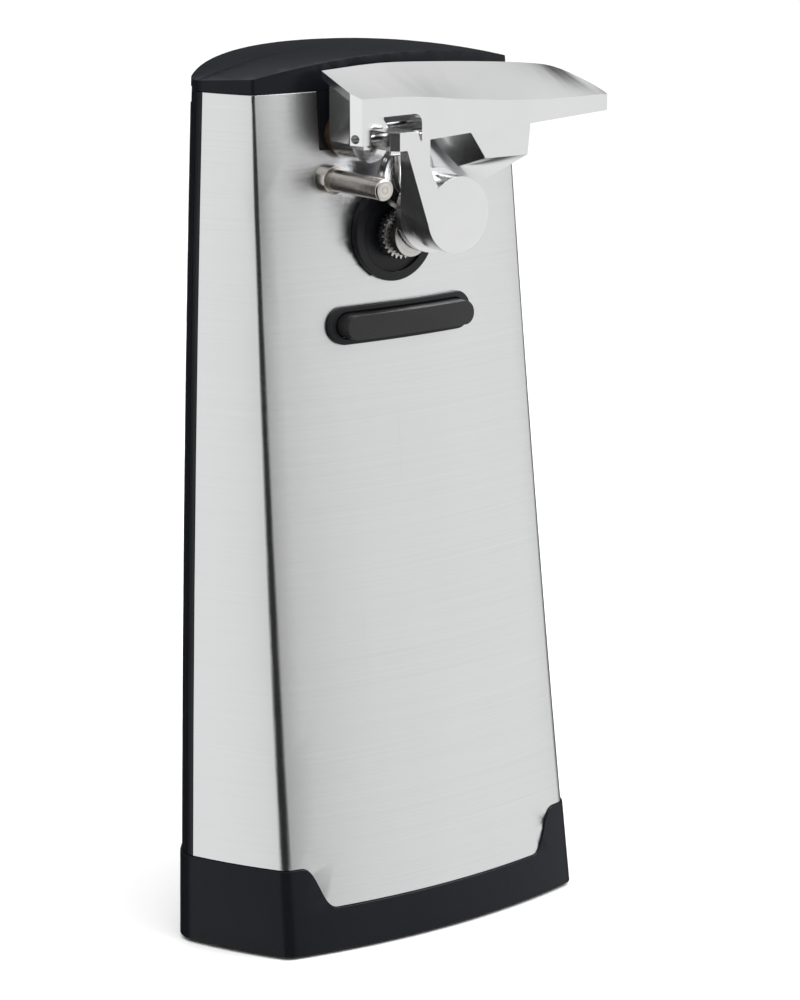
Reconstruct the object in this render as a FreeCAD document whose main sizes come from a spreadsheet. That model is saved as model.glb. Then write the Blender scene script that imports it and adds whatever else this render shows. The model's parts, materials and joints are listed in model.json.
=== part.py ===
import FreeCAD, Part

import math
import os
import re

# Upright electric can opener: a steel-wrapped tower on a black base, with a chrome cutting
# lever, a magnet arm, a toothed drive wheel and, inside, a shaded-pole motor whose three gear
# stages turn the drive wheel. Millimetres; +Z is up, -Y is the front, +X is the lever's tip.
# The origin is the middle of the footprint, on the surface that the feet stand on.

document = FreeCAD.newDocument("CanOpener")
sheet = document.addObject("Spreadsheet::Sheet", "Sizes")

SIZES = {
    # tower outline: a bowed front, tight front corners, flared sides, round back
    "overall_height": 245.0,
    "corner_half_base": 47.1,
    "corner_half_top": 42.4,
    "corner_round_base": 4.95,
    "corner_round_top": 1.45,
    "front_base_y": -35.8,
    "front_drive_y": -15.1,
    "front_swell": 3.5,
    "front_turn": 13.5,
    "side_turn_front": 61.0,
    "side_turn_rear": 73.0,
    "seam_half_base": 63.1,
    "seam_half_top": 49.4,
    "seam_swell": 3.6,
    "seam_base_y": -1.2,
    "seam_top_y": 8.0,
    "rear_round": 8.0,
    "rear_turn_base": 52.0,
    "rear_turn_top": 47.0,
    "dome_radius": 195.0,
    "dome_centre_y": 8.0,
    # shells
    "skin": 0.6,
    "skin_gap": 0.12,
    "shell_wall": 2.2,
    "seam_strip": 2.2,
    "seam_gap": 0.2,
    "cap_rim": 9.6,
    "collar_height": 24.8,
    "collar_dip": 12.7,
    "collar_proud": 0.5,
    "collar_wall": 2.2,
    "foot_height": 1.0,
    "foot_radius": 6.0,
    "foot_stem": 2.0,
    "foot_barb": 0.6,
    "foot_inset": 6.0,
    "foot_front_setback": 17.0,
    "foot_rear_setback": 20.0,
    "foot_rear_share": 0.7,
    "floor_plate": 2.4,
    "base_screw_radius": 1.35,
    "base_screw_head": 3.0,
    "base_screw_length": 9.0,
    "base_screw_inset": 8.0,
    "lip_slot": 4.4,
    "lip_slot_drop": 8.6,
    "lip_slot_end": 34.0,
    # mechanism places
    "drive_drop": 49.0,
    "drive_x": -3.5,
    "pivot_x": -18.0,
    "pivot_rise": 27.6,
    "rest_drop": 72.8,
    "rest_x": -2.0,
    # fits
    "running_gap": 0.05,
    "easy_gap": 0.3,
    # cutting lever
    "lever_face_gap": 0.35,
    "lever_depth": 15.9,
    "lever_left": -27.0,
    "lever_tip": 60.2,
    "lever_wall": 2.6,
    "hub_radius": 6.4,
    "hub_length": 9.8,
    "post_radius": 3.5,
    "post_flat": 2.6,
    "bush_wall": 2.0,
    "notch_left": -22.4,
    "notch_right": -5.4,
    # magnet arm
    "arm_hinge_y": -28.7,
    "arm_hinge_rise": 28.7,
    "arm_pin_radius": 1.2,
    "arm_front_y": -37.2,
    "arm_left": -17.2,
    "arm_width": 5.0,
    "magnet_x": 1.9,
    "magnet_rise": 6.8,
    "magnet_cover_radius": 10.4,
    "magnet_depth": 12.5,
    "magnet_radius": 8.4,
    "magnet_height": 3.2,
    "magnet_pocket": 6.0,
    "magnet_lip": 1.2,
    "magnet_lip_width": 2.2,
    # cutting wheel
    "cutter_x": -2.8,
    "cutter_radius": 9.5,
    "cutter_thick": 1.5,
    "cutter_overlap": 0.5,
    "cutter_bore": 2.5,
    "holder_thick": 2.4,
    # drive wheel and collar
    "wheel_radius": 7.0,
    "wheel_thick": 2.7,
    "wheel_back": 2.1,
    "wheel_teeth": 26,
    "wheel_hub_radius": 5.8,
    "wheel_hub_length": 4.2,
    "collar_ring_radius": 13.4,
    "collar_ring_proud": 1.9,
    "drive_shaft_radius": 3.0,
    # guide pin and can rest
    "guide_pin_x": -23.4,
    "guide_pin_rise": 16.0,
    "guide_pin_radius": 3.0,
    "guide_pin_length": 24.0,
    "guide_flange_radius": 3.9,
    "rest_length": 49.0,
    "rest_height": 10.5,
    "rest_bar_length": 43.5,
    "rest_bar_height": 6.6,
    "rest_proud": 6.0,
    # gear train
    "rotor_teeth": 12,
    "first_teeth": 60,
    "first_pinion_teeth": 12,
    "second_teeth": 48,
    "second_pinion_teeth": 15,
    "drive_teeth": 48,
    "module_fast": 0.5,
    "module_middle": 0.6,
    "module_slow": 0.8,
    "mesh_gap": 0.15,
    "tooth_thinning": 0.05,
    "slow_angle": -10.0,
    "middle_angle": 101.7,
    "fast_angle": 168.5,
    "gear_bore": 1.5,
    "plate_setback": 8.0,
    "plate_thick": 1.2,
    "slow_width": 3.0,
    "middle_width": 2.4,
    "fast_width": 2.2,
    "layer_gap": 0.35,
    # motor
    "stack_width": 46.0,
    "stack_height": 60.0,
    "stack_above": 16.5,
    "stack_thick": 12.0,
    "stack_setback": 3.9,
    "rotor_radius": 11.6,
    "air_gap": 0.4,
    "rotor_shaft_radius": 2.0,
    "coil_over": 3.5,
    "stone_radius": 19.6,
    "stone_thick": 4.0,
    # switch
    "cam_half": 2.4,
    "plunger_radius": 1.4,
    "switch_well": 4.2,
    "switch_travel": 0.8,
}
for row, (name, value) in enumerate(SIZES.items(), start=1):
    sheet.set(f"A{row}", name)
    sheet.set(f"B{row}", str(value))
    sheet.setAlias(f"B{row}", name)
document.recompute()


class Sizes:
    """Reads the sheet's cells by their aliases."""

    def __getattr__(self, name):
        return float(sheet.get(name))


size = Sizes()
vector = FreeCAD.Vector
TO_FRONT = FreeCAD.Rotation(vector(1, 0, 0), 90)
TO_SIDE = FreeCAD.Rotation(vector(0, 1, 0), 90)
UPRIGHT = FreeCAD.Rotation()
nodes = []


def formula(text):
    """Turns 'drive_x + 2' into an expression that reads the sheet."""
    return re.sub(r"[a-z_]{2,}", lambda word: f"Sizes.{word.group(0)}", text)


def bind(item, **bindings):
    """Ties an object's properties to the sheet; x, y and z are its place."""
    places = {"x": "Placement.Base.x", "y": "Placement.Base.y", "z": "Placement.Base.z"}
    for name, text in bindings.items():
        item.setExpression(places.get(name, name), formula(text))
    return item


def node(item, label):
    """Names a finished sub-part, which is written to a file of that name."""
    item.Label = label
    nodes.append(item)
    return item


def feature(label, shape):
    """A sub-part whose shape is worked out from the sheet in this file."""
    item = document.addObject("Part::Feature", label)
    item.Shape = shape
    item.Placement = FreeCAD.Placement()
    return node(item, label)


def primitive(kind, rotation, **bindings):
    """A Part primitive whose sizes and place are bound to the sheet."""
    item = document.addObject(kind, "piece")
    item.Placement = FreeCAD.Placement(vector(), rotation)
    return bind(item, **bindings)


def bar(radius, front, back, x, z):
    """A cylinder along Y, given as expressions."""
    return primitive("Part::Cylinder", TO_FRONT, Radius=radius, Height=f"{back} - {front}",
                     x=x, y=back, z=z)


def upright(radius, low, height, x, y):
    """A cylinder along Z, given as expressions."""
    return primitive("Part::Cylinder", UPRIGHT, Radius=radius, Height=height, x=x, y=y, z=low)


def block(x, y, z, length, width, height):
    """A box from its lowest corner and its sizes, given as expressions."""
    return primitive("Part::Box", UPRIGHT, Length=length, Width=width, Height=height,
                     x=x, y=y, z=z)


def joined(*pieces):
    item = document.addObject("Part::MultiFuse", "joined")
    item.Shapes = list(pieces)
    item.Refine = True
    return item


def cut(base, tool):
    item = document.addObject("Part::Cut", "cut")
    item.Base = base
    item.Tool = tool
    item.Refine = True
    return item


def group(label, *pieces):
    """Identical pieces that share one node as separate solids."""
    item = document.addObject("Part::Compound", label)
    item.Links = list(pieces)
    return node(item, label)


# ---------------------------------------------------------------- tower outline
drive_z = size.overall_height - size.drive_drop

# the same places as expressions on the sheet, for the sub-parts that are bound to it
DRIVE_Z = "(overall_height - drive_drop)"
PIVOT_Z = f"({DRIVE_Z} + pivot_rise)"
HINGE_Z = f"({DRIVE_Z} + arm_hinge_rise)"
MAGNET_Z = f"({DRIVE_Z} + magnet_rise)"
CUTTER_Z = f"({DRIVE_Z} + wheel_radius + cutter_radius - cutter_overlap)"
LEVER_REAR = "(front_drive_y + lever_face_gap)"
CUTTER_BACK = "(front_drive_y - wheel_back - wheel_thick - easy_gap)"
CUTTER_FRONT = f"({CUTTER_BACK} - cutter_thick)"
MAGNET_BACK = "(arm_front_y + magnet_depth)"
POST_BACK = "(front_drive_y + plate_setback + 6)"


def turned(degrees):
    """The outward direction of an outline that heads this way from +X."""
    angle = math.radians(degrees)
    return vector(math.sin(angle), -math.cos(angle), 0)


def front_y(height):
    """The foremost line of the tower's face at a height."""
    share = height / drive_z
    rise = (size.front_drive_y - size.front_base_y) * share
    return size.front_base_y + rise + size.front_swell * share * (1 - share)


def seam_y(height):
    """The plane where the steel wrap ends and the rear cover begins."""
    return size.seam_base_y + (size.seam_top_y - size.seam_base_y) * height / size.overall_height


def outline(height, inset):
    """The tower's closed plan at a height, moved inwards by inset."""
    share = height / size.overall_height
    least_round = 0.4
    corner_x = size.corner_half_base + (size.corner_half_top - size.corner_half_base) * share
    corner_round = size.corner_round_base
    corner_round += (size.corner_round_top - size.corner_round_base) * share
    face_end = vector(corner_x, 0, 0) + turned(size.front_turn) * corner_round
    face_drop = face_end.x * math.tan(math.radians(size.front_turn / 2))
    centre = vector(corner_x, front_y(height) + face_drop - face_end.y, 0)
    inner_round = corner_round - inset
    if inner_round < least_round:
        excess = least_round - inner_round
        centre += vector(-excess, excess, 0)
        inner_round = least_round
    face_end = centre + turned(size.front_turn) * inner_round
    face_mid = vector(0, face_end.y - face_end.x * math.tan(math.radians(size.front_turn / 2)), 0)
    middle_turn = (size.front_turn + size.side_turn_front) / 2
    corner_mid = centre + turned(middle_turn) * inner_round
    corner_end = centre + turned(size.side_turn_front) * inner_round
    seam_x = size.seam_half_base + (size.seam_half_top - size.seam_half_base) * share
    seam_x += size.seam_swell * share * (1 - share)
    seam = vector(seam_x, seam_y(height), 0) - turned(size.side_turn_rear) * inset
    side = seam - corner_end
    swell = math.tan(math.radians((size.side_turn_rear - size.side_turn_front) / 4)) / 2
    side_mid = (seam + corner_end) * 0.5 + vector(side.y, -side.x, 0) * swell
    rear_turn = size.rear_turn_base + (size.rear_turn_top - size.rear_turn_base) * share
    rear_round = size.rear_round - inset
    rear_centre = seam - turned(size.side_turn_rear) * rear_round
    rear_mid = rear_centre + turned((size.side_turn_rear + 180 - rear_turn) / 2) * rear_round
    rear_end = rear_centre + turned(180 - rear_turn) * rear_round
    back = vector(0, rear_end.y + rear_end.x * math.tan(math.radians(rear_turn / 2)), 0)

    def mirror(point):
        return vector(-point.x, point.y, point.z)

    right = [(face_end, corner_mid, corner_end), (corner_end, side_mid, seam),
             (seam, rear_mid, rear_end)]
    arcs = [(mirror(face_end), face_mid, face_end)] + right
    arcs += [(rear_end, back, mirror(rear_end))]
    arcs += [(mirror(end), mirror(middle), mirror(start)) for start, middle, end in reversed(right)]
    lift = vector(0, 0, height)
    edges = [Part.Arc(*(point + lift for point in arc)).toShape() for arc in arcs]
    return Part.Wire(edges)


towers = {}


def tower(inset):
    """The whole tower as one solid, moved inwards by inset."""
    if inset not in towers:
        levels = 6
        lowest = -4.0
        highest = size.overall_height + 5.0
        step = (highest - lowest) / (levels - 1)
        wires = [outline(lowest + step * index, inset) for index in range(levels)]
        towers[inset] = Part.makeLoft(wires, True)
    return towers[inset]


REACH = 200.0


def slab(low, high):
    """Everything between two heights."""
    return Part.makeBox(2 * REACH, 2 * REACH, high - low, vector(-REACH, -REACH, low))


def behind_seam(offset):
    """Everything behind the seam plane, moved back by offset."""
    low = -10.0
    high = size.overall_height + 20.0
    points = [vector(-REACH, seam_y(low) + offset, low), vector(-REACH, REACH, low),
              vector(-REACH, REACH, high), vector(-REACH, seam_y(high) + offset, high)]
    return Part.Face(Part.makePolygon(points + points[:1])).extrude(vector(2 * REACH, 0, 0))


def y_rod(radius, front, back, x, z):
    """A cylinder along Y from its front to its back."""
    return Part.makeCylinder(radius, back - front, vector(x, front, z), vector(0, 1, 0))


def x_rod(radius, left, right, y, z):
    return Part.makeCylinder(radius, right - left, vector(left, y, z), vector(1, 0, 0))


def box(low, high):
    return Part.makeBox(high[0] - low[0], high[1] - low[1], high[2] - low[2], vector(*low))


def fused(*shapes):
    whole = shapes[0].fuse(list(shapes[1:]))
    return whole.removeSplitter()


def dome(drop):
    """The ball whose top is the cap's crown, lowered by drop."""
    radius = size.dome_radius - drop
    centre = vector(0, size.dome_centre_y, size.overall_height - size.dome_radius)
    return Part.makeSphere(radius, centre)


def collar_top(gap):
    """What lies above the collar: its edge drops in a smooth step across the face."""
    high = size.collar_height + gap
    low = size.collar_dip + gap
    outer = size.corner_half_base - 2.0
    inner = outer - 10.0
    middle = (outer + inner) / 2
    right = Part.BezierCurve()
    right.setPoles([vector(inner, 0, low), vector(middle, 0, low), vector(middle, 0, high),
                    vector(outer, 0, high)])
    left = Part.BezierCurve()
    left.setPoles([vector(-outer, 0, high), vector(-middle, 0, high), vector(-middle, 0, low),
                   vector(-inner, 0, low)])
    floor = Part.LineSegment(vector(-inner, 0, low), vector(inner, 0, low))
    roof = [vector(outer, 0, high), vector(outer, 0, high + 5), vector(-outer, 0, high + 5),
            vector(-outer, 0, high)]
    edges = [left.toShape(), floor.toShape(), right.toShape()]
    edges += list(Part.makePolygon(roof).Edges)
    face = Part.Face(Part.Wire(Part.__sortEdges__(edges)))
    step = face.extrude(vector(0, -REACH, 0))
    return slab(high, size.overall_height + 30).fuse(step)


# screw places of the rear cover, as x and height
lower_screw_x = size.corner_half_base - 3.0
upper_screw_x = size.corner_half_top - 1.0
lower_screw_z = size.collar_height + 20
upper_screw_z = size.overall_height - 45.0
screw_places = [(side * x, z) for x, z in
                ((lower_screw_x, lower_screw_z), (upper_screw_x, upper_screw_z))
                for side in (-1, 1)]
screw_radius = 1.6
screw_head_radius = 3.0
screw_head = 2.0
boss_radius = 3.6

# ---------------------------------------------------------------- base
plate_low = size.foot_height
plate_high = plate_low + size.floor_plate
inside_collar = size.collar_wall - size.collar_proud
collar = tower(-size.collar_proud).common(slab(plate_low, size.collar_height))
collar = collar.cut(tower(inside_collar))
collar = collar.cut(collar_top(0.0))
feature("base_collar", collar)

foot_x = size.corner_half_base - size.foot_inset
foot_front_y = size.front_base_y + size.foot_front_setback
foot_rear_x = foot_x * size.foot_rear_share
foot_rear_y = size.seam_base_y + size.foot_rear_setback
foot_centres = [(-foot_x, foot_front_y), (foot_x, foot_front_y),
                (-foot_rear_x, foot_rear_y), (foot_rear_x, foot_rear_y)]
floor_plate = tower(inside_collar + size.skin_gap).common(slab(plate_low, plate_high))
for x, y in foot_centres:
    floor_plate = floor_plate.cut(Part.makeCylinder(size.foot_stem, 20, vector(x, y, -5)))
vent_width = 2.4
for index in range(7):
    vent_x = (index - 3) * 2.5 * vent_width
    floor_plate = floor_plate.cut(box((vent_x - vent_width / 2, -12, -5),
                                      (vent_x + vent_width / 2, 12, 20)))
plate_screw_x = foot_x - size.base_screw_inset
plate_screw_y = foot_rear_y - size.base_screw_inset
screw_hole = size.base_screw_radius + 0.35
screw_sink = size.base_screw_head + 0.2
for x in (-plate_screw_x, plate_screw_x):
    floor_plate = floor_plate.cut(Part.makeCylinder(screw_hole, 20, vector(x, plate_screw_y, -5)))
    floor_plate = floor_plate.cut(Part.makeCylinder(screw_sink, plate_low + 1.2 + 5,
                                                    vector(x, plate_screw_y, -5)))
feature("base_plate", floor_plate)
PLATE_HIGH = "(foot_height + floor_plate)"
foot_places = {
    "front_left": ("-(corner_half_base - foot_inset)", "front_base_y + foot_front_setback"),
    "front_right": ("corner_half_base - foot_inset", "front_base_y + foot_front_setback"),
    "rear_left": ("-(corner_half_base - foot_inset) * foot_rear_share",
                  "seam_base_y + foot_rear_setback"),
    "rear_right": ("(corner_half_base - foot_inset) * foot_rear_share",
                   "seam_base_y + foot_rear_setback"),
}
for name, (x, y) in foot_places.items():
    pad = upright("foot_radius", "0", "foot_height", x, y)
    stem = upright("foot_stem", "0", f"{PLATE_HIGH} + 1", x, y)
    barb = primitive("Part::Cone", UPRIGHT, Radius1="foot_stem + foot_barb",
                     Radius2="foot_stem - foot_barb / 2", Height="2 * foot_barb",
                     x=x, y=y, z=PLATE_HIGH)
    node(joined(pad, stem, barb), f"foot_{name}")

# ---------------------------------------------------------------- tower shells
wrap_top = size.overall_height - size.cap_rim
housing_inset = size.skin + size.skin_gap
housing_inner = housing_inset + size.shell_wall
face_y = size.front_drive_y
apron_left = size.lever_left + 2.0
apron_right = size.corner_half_top - 3.0
apron_low = drive_z + 24.0
apron = box((apron_left, -REACH, apron_low), (apron_right, 0, wrap_top + 5))
apron_gap = box((apron_left - 0.2, -REACH, apron_low - 0.2), (apron_right + 0.2, 0, wrap_top + 5))

wrap = tower(0.0).cut(tower(size.skin)).common(slab(size.foot_height, wrap_top))
wrap = wrap.common(collar_top(0.15))
wrap = wrap.cut(behind_seam(0.0)).cut(apron_gap)

housing = tower(housing_inset).common(slab(plate_high + 0.2, wrap_top))
housing = housing.cut(tower(housing_inner).common(slab(-5, wrap_top + 20)))
housing = housing.cut(behind_seam(size.seam_strip))
strip = tower(0.0).cut(tower(housing_inner)).common(slab(size.collar_height + 0.2, wrap_top))
strip = strip.common(behind_seam(0.15)).cut(behind_seam(size.seam_strip))
inner_low = tower(inside_collar + size.skin_gap)
housing = housing.cut(slab(-5, size.collar_height + 0.2).cut(inner_low))
panel = tower(0.05).cut(tower(housing_inner)).common(apron).common(slab(apron_low, wrap_top))
housing = fused(housing, strip, panel)

cover_start = size.seam_strip + size.seam_gap
cover = tower(0.0).common(behind_seam(cover_start)).common(dome(0.0))
cover = cover.common(slab(size.collar_height + 0.2, size.overall_height + 5))
cover_inner = tower(size.shell_wall).common(dome(size.shell_wall + 0.3))
cover_inner = cover_inner.common(slab(-5, size.overall_height))
cover = cover.cut(cover_inner)
slot_high = size.overall_height - size.lip_slot_drop
slot_low = slot_high - size.lip_slot
slot_front = seam_y(slot_low) + cover_start + 3.0
cover = cover.cut(box((-REACH, slot_front, slot_low), (size.lip_slot_end, REACH, slot_high)))

cap = tower(0.0).common(slab(wrap_top + 0.2, size.overall_height + 5)).common(dome(0.0))
cap = cap.cut(behind_seam(size.seam_strip))
cap_inner = tower(size.shell_wall + 1.0).common(dome(size.shell_wall))
cap_inner = cap_inner.common(slab(-5, size.overall_height))
cap = cap.cut(cap_inner.cut(behind_seam(size.seam_strip - 1.6)))

# bosses that the rear cover's screws go into
for x, z in screw_places:
    boss_rear = seam_y(z) + cover_start + 5.0
    boss = y_rod(boss_radius, front_y(z) - 5, boss_rear, x, z)
    boss = boss.common(tower(housing_inner - 0.6))
    pilot = y_rod(screw_radius - 0.25, boss_rear - 12, boss_rear + 1, x, z)
    housing = fused(housing, boss).cut(pilot)
    pocket_floor = boss_rear + 0.2
    pocket = y_rod(screw_head_radius + 0.5, pocket_floor + 1.8, REACH, x, z)
    sleeve = y_rod(screw_head_radius + 2.0, pocket_floor, REACH, x, z).common(tower(0.8))
    cover = fused(cover, sleeve).cut(pocket)
    cover = cover.cut(y_rod(screw_radius + 0.15, pocket_floor - 5, REACH, x, z))


def screw(x, z, seat, length, radius, head_radius, head_height, towards=-1):
    """A pan-head screw along Y with its head's underside at seat; towards is its point's way."""
    def y_span(bar_radius, low, high):
        ends = sorted((seat - towards * low, seat - towards * high))
        return y_rod(bar_radius, *ends, x, z)

    shank = y_span(radius, -length, 0.01)
    head = y_span(head_radius, 0.0, head_height)
    top_y = seat - towards * head_height
    rim = [edge for edge in head.Edges if abs(edge.BoundBox.YMin - top_y) < 0.001
           and edge.BoundBox.YLength < 0.001]
    head = head.makeFillet(head_height * 0.4, rim)
    slot_half = 0.35
    slot_reach = head_radius * 0.53
    slot_ends = sorted((top_y + towards * 0.8, top_y - towards))
    across = box((x - slot_reach, slot_ends[0], z - slot_half),
                 (x + slot_reach, slot_ends[1], z + slot_half))
    upright = box((x - slot_half, slot_ends[0], z - slot_reach),
                  (x + slot_half, slot_ends[1], z + slot_reach))
    return fused(shank, head).cut(across).cut(upright)


cover_screws = []
for x, z in screw_places:
    seat = seam_y(z) + cover_start + 5.0 + 0.2 + 1.8
    cover_screws.append(screw(x, z, seat, 11.0, screw_radius - 0.25, screw_head_radius, screw_head))

# the mains lead's inlet, low in the back; the lead itself isn't part of this model
inlet_radius = 4.2
inlet_z = size.collar_height + 10.0
cover = cover.cut(y_rod(inlet_radius, seam_y(inlet_z) + 15, REACH, 0, inlet_z))

# openings in the face for the drive collar, the guide pin, the can rest and the lever's post
pivot_z = drive_z + size.pivot_rise
guide_z = drive_z + size.guide_pin_rise
rest_z = size.overall_height - size.rest_drop
ring_hole = y_rod(size.collar_ring_radius - 1.4, -REACH, 0, size.drive_x, drive_z)
guide_hole = y_rod(size.guide_pin_radius - 0.8, -REACH, 0, size.guide_pin_x, guide_z)
post_hole = y_rod(size.post_radius + size.bush_wall + 0.02, -REACH, 0, size.pivot_x, pivot_z)
rest_hole = box((size.rest_x - size.rest_length / 2 + 4, -REACH, rest_z - 3.2),
                (size.rest_x + size.rest_length / 2 - 4, 0, rest_z + 3.2))
for hole in (ring_hole, guide_hole, post_hole, rest_hole):
    housing = housing.cut(hole)
    wrap = wrap.cut(hole)

plate_front = face_y + size.plate_setback
stand_places = [(size.drive_x - 23.5, drive_z - 18.0), (size.drive_x + 34.0, drive_z - 27.0),
                (size.drive_x + 11.5, drive_z + 33.0)]
stand_radius = 3.0
for x, z in stand_places:
    stand = y_rod(stand_radius, front_y(z) - 5, plate_front, x, z).common(tower(housing_inner - 0.6))
    housing = fused(housing, stand).cut(y_rod(1.05, plate_front - 2.8, plate_front + 1, x, z))
feature("steel_wrap", wrap)
feature("front_housing", housing)
feature("rear_cover", cover)
feature("top_cap", cap)
feature("cover_screws", Part.makeCompound(cover_screws))

base_screws = []
for x in ("-(corner_half_base - foot_inset - base_screw_inset)",
          "corner_half_base - foot_inset - base_screw_inset"):
    y = "seam_base_y + foot_rear_setback - base_screw_inset"
    shank = upright("base_screw_radius", "foot_height + 1.2", "base_screw_length", x, y)
    head = upright("base_screw_head", "foot_height + 0.2", "1.0", x, y)
    base_screws.append(joined(shank, head))
group("base_screws", *base_screws)

# ---------------------------------------------------------------- face fittings
ring_front = face_y - size.collar_ring_proud
ring_back = face_y + 5.4
ring = fused(y_rod(size.collar_ring_radius, ring_front, face_y + 1.4, size.drive_x, drive_z),
             y_rod(size.collar_ring_radius - 1.6, ring_front, ring_back, size.drive_x, drive_z))
ring = ring.cut(tower(-0.02).cut(y_rod(size.collar_ring_radius - 1.6, -REACH, 0, size.drive_x,
                                       drive_z)))
recess = y_rod(size.collar_ring_radius - 2.6, -REACH, ring_front + 1.1, size.drive_x, drive_z)
nose = y_rod(size.wheel_hub_radius - 0.6, ring_front + 0.1, ring_back, size.drive_x, drive_z)
ring = fused(ring.cut(recess), nose)
ring = ring.cut(y_rod(size.drive_shaft_radius + size.running_gap, -REACH, 0, size.drive_x,
                      drive_z))
feature("drive_collar", ring)

pin_back = front_y(guide_z) + 3.4
pin_front = front_y(guide_z) - size.guide_pin_length
flange_front = front_y(guide_z) - 2.2
groove = y_rod(size.guide_pin_radius + 1, flange_front - 1.0, flange_front, size.guide_pin_x,
               guide_z)
groove = groove.cut(y_rod(size.guide_pin_radius - 0.5, -REACH, 0, size.guide_pin_x, guide_z))
pin = y_rod(size.guide_pin_radius, pin_front, flange_front + 0.1, size.guide_pin_x, guide_z)
pin = pin.makeChamfer(0.4, [edge for edge in pin.Edges if edge.BoundBox.YMax < pin_front + 0.01])
flange = y_rod(size.guide_flange_radius, flange_front, 0, size.guide_pin_x, guide_z)
flange = flange.cut(tower(-0.02))
stem = y_rod(size.guide_pin_radius - 0.85, flange_front, pin_back, size.guide_pin_x, guide_z)
feature("can_guide_pin", fused(pin, flange, stem).cut(groove))


def pill(length, height, front, back, x, z):
    """A bar with round ends, seen from the front."""
    half = length / 2 - height / 2
    middle = box((x - half, front, z - height / 2), (x + half, back, z + height / 2))
    ends = [y_rod(height / 2, front, back, x + side * half, z) for side in (-1, 1)]
    return fused(middle, *ends)


rest_face = front_y(rest_z)
bezel = pill(size.rest_length, size.rest_height, rest_face - 2.0, 0, size.rest_x, rest_z)
bezel = bezel.common(tower(-1.4)).cut(tower(-0.02))
socket = pill(size.rest_bar_length + 0.3, size.rest_bar_height + 0.3, -REACH, 0, size.rest_x, rest_z)
feature("can_rest_bezel", bezel.cut(socket))
rest_bar = pill(size.rest_bar_length, size.rest_bar_height, rest_face - size.rest_proud, 0,
                size.rest_x, rest_z)
rest_bar = rest_bar.common(tower(-size.rest_proud)).cut(tower(-0.02))
rest_tab = box((size.rest_x - size.rest_length / 2 + 6, rest_face - 1.0, rest_z - 2.8),
               (size.rest_x + size.rest_length / 2 - 6, rest_face + 6.0, rest_z + 2.8))
rest_bar = fused(rest_bar, rest_tab.cut(tower(housing_inner + 1.0)))
feature("can_rest", rest_bar)

# ---------------------------------------------------------------- cutting lever
lever_rear = face_y + size.lever_face_gap
lever_front = lever_rear - size.lever_depth
lever_top = size.overall_height - 3.4
# outside corners of the lever's section, as drops below the top of its rear edge:
# place along X, rear edge, front edge, lower edge, and how far the rear edge comes forward
lever_stations = [
    (size.lever_left, 0.0, 6.1, 18.6, 0.0),
    (size.lever_left + 19.0, -0.6, 6.8, 18.9, 0.0),
    (size.drive_x + 13.5, 0.3, 9.0, 18.2, 0.0),
    (size.drive_x + 36.5, 2.1, 11.0, 17.4, 0.0),
    (size.lever_tip - 12.0, 3.8, 11.5, 16.7, 0.0),
    (size.lever_tip - 4.0, 5.8, 11.5, 16.3, 0.2),
    (size.lever_tip - 1.2, 8.4, 11.5, 16.2, 7.5),
    (size.lever_tip, 10.6, 11.6, 16.1, 13.4),
]


def blended(stations, steps):
    """The same stations with steps between each pair, on a smooth curve through them."""
    count = len(stations)
    rows = []
    for index in range(count - 1):
        start, end = stations[index], stations[index + 1]
        before = stations[max(index - 1, 0)]
        after = stations[min(index + 2, count - 1)]
        span = end[0] - start[0]
        for step in range(steps):
            share = step / steps
            row = [start[0] + span * share]
            for column in range(1, len(start)):
                slope_in = (end[column] - before[column]) / (end[0] - before[0]) * span
                slope_out = (after[column] - start[column]) / (after[0] - start[0]) * span
                rise = end[column] - start[column]
                bend = (share - 2 * share ** 2 + share ** 3) * slope_in
                bend += (share ** 3 - share ** 2) * slope_out
                row.append(start[column] + rise * (3 * share ** 2 - 2 * share ** 3) + bend)
            rows.append(tuple(row))
    return rows + [stations[-1]]


def lever_section(place, wall):
    """The lever's outer section, or its hollow when wall is above zero."""
    x, rear_drop, front_drop, low_drop, forward = place
    rear = lever_rear - forward - wall * 0.7
    front = lever_front + wall
    rear_top = lever_top - rear_drop - wall * 1.05
    front_top = lever_top - front_drop - wall * 1.05
    low = lever_top - low_drop - (4.0 if wall else 0.0)
    points = [vector(x, rear, rear_top), vector(x, front, front_top), vector(x, front, low),
              vector(x, rear, low)]
    return Part.makePolygon(points + points[:1])


lever_steps = 3
lever_rows = blended(lever_stations, lever_steps)
lever = Part.makeLoft([lever_section(place, 0.0) for place in lever_rows], True, True)
hollow = [(size.lever_left + 5.2,) + lever_stations[0][1:]] + lever_stations[1:6]
hollow[-1] = (hollow[-1][0] - 1.5,) + hollow[-1][1:]
lever = lever.cut(Part.makeLoft([lever_section(place, size.lever_wall) for place in hollow],
                                True, True))
panel_depth = 2.6
side_panel = box((size.lever_left - 1, lever_front + 3.4, lever_top - 40),
                 (size.lever_left + panel_depth, lever_rear + 1, lever_top + 5))
roof_drop = 2.0
roof_slope = math.degrees(math.atan2(lever_stations[0][2], size.lever_depth))
roof = box((-4, -size.lever_depth * 1.4, -roof_drop), (8, 6, 30))
roof.rotate(vector(0, 0, 0), vector(1, 0, 0), roof_slope)
roof.translate(vector(size.lever_left, lever_rear, lever_top))
lever = lever.cut(side_panel.cut(roof))
edge_run = 1.4
edge_points = [vector(size.lever_left - 5, lever_front - 1, 0),
               vector(size.lever_left + edge_run, lever_front - 1, 0),
               vector(size.lever_left + edge_run, lever_front, 0),
               vector(size.lever_left, lever_front + 3.4, 0),
               vector(size.lever_left - 5, lever_front + 3.4, 0)]
edge_cut = Part.Face(Part.makePolygon(edge_points + edge_points[:1])).extrude(
    vector(0, 0, size.overall_height * 2))
lever = lever.cut(edge_cut)

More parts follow.
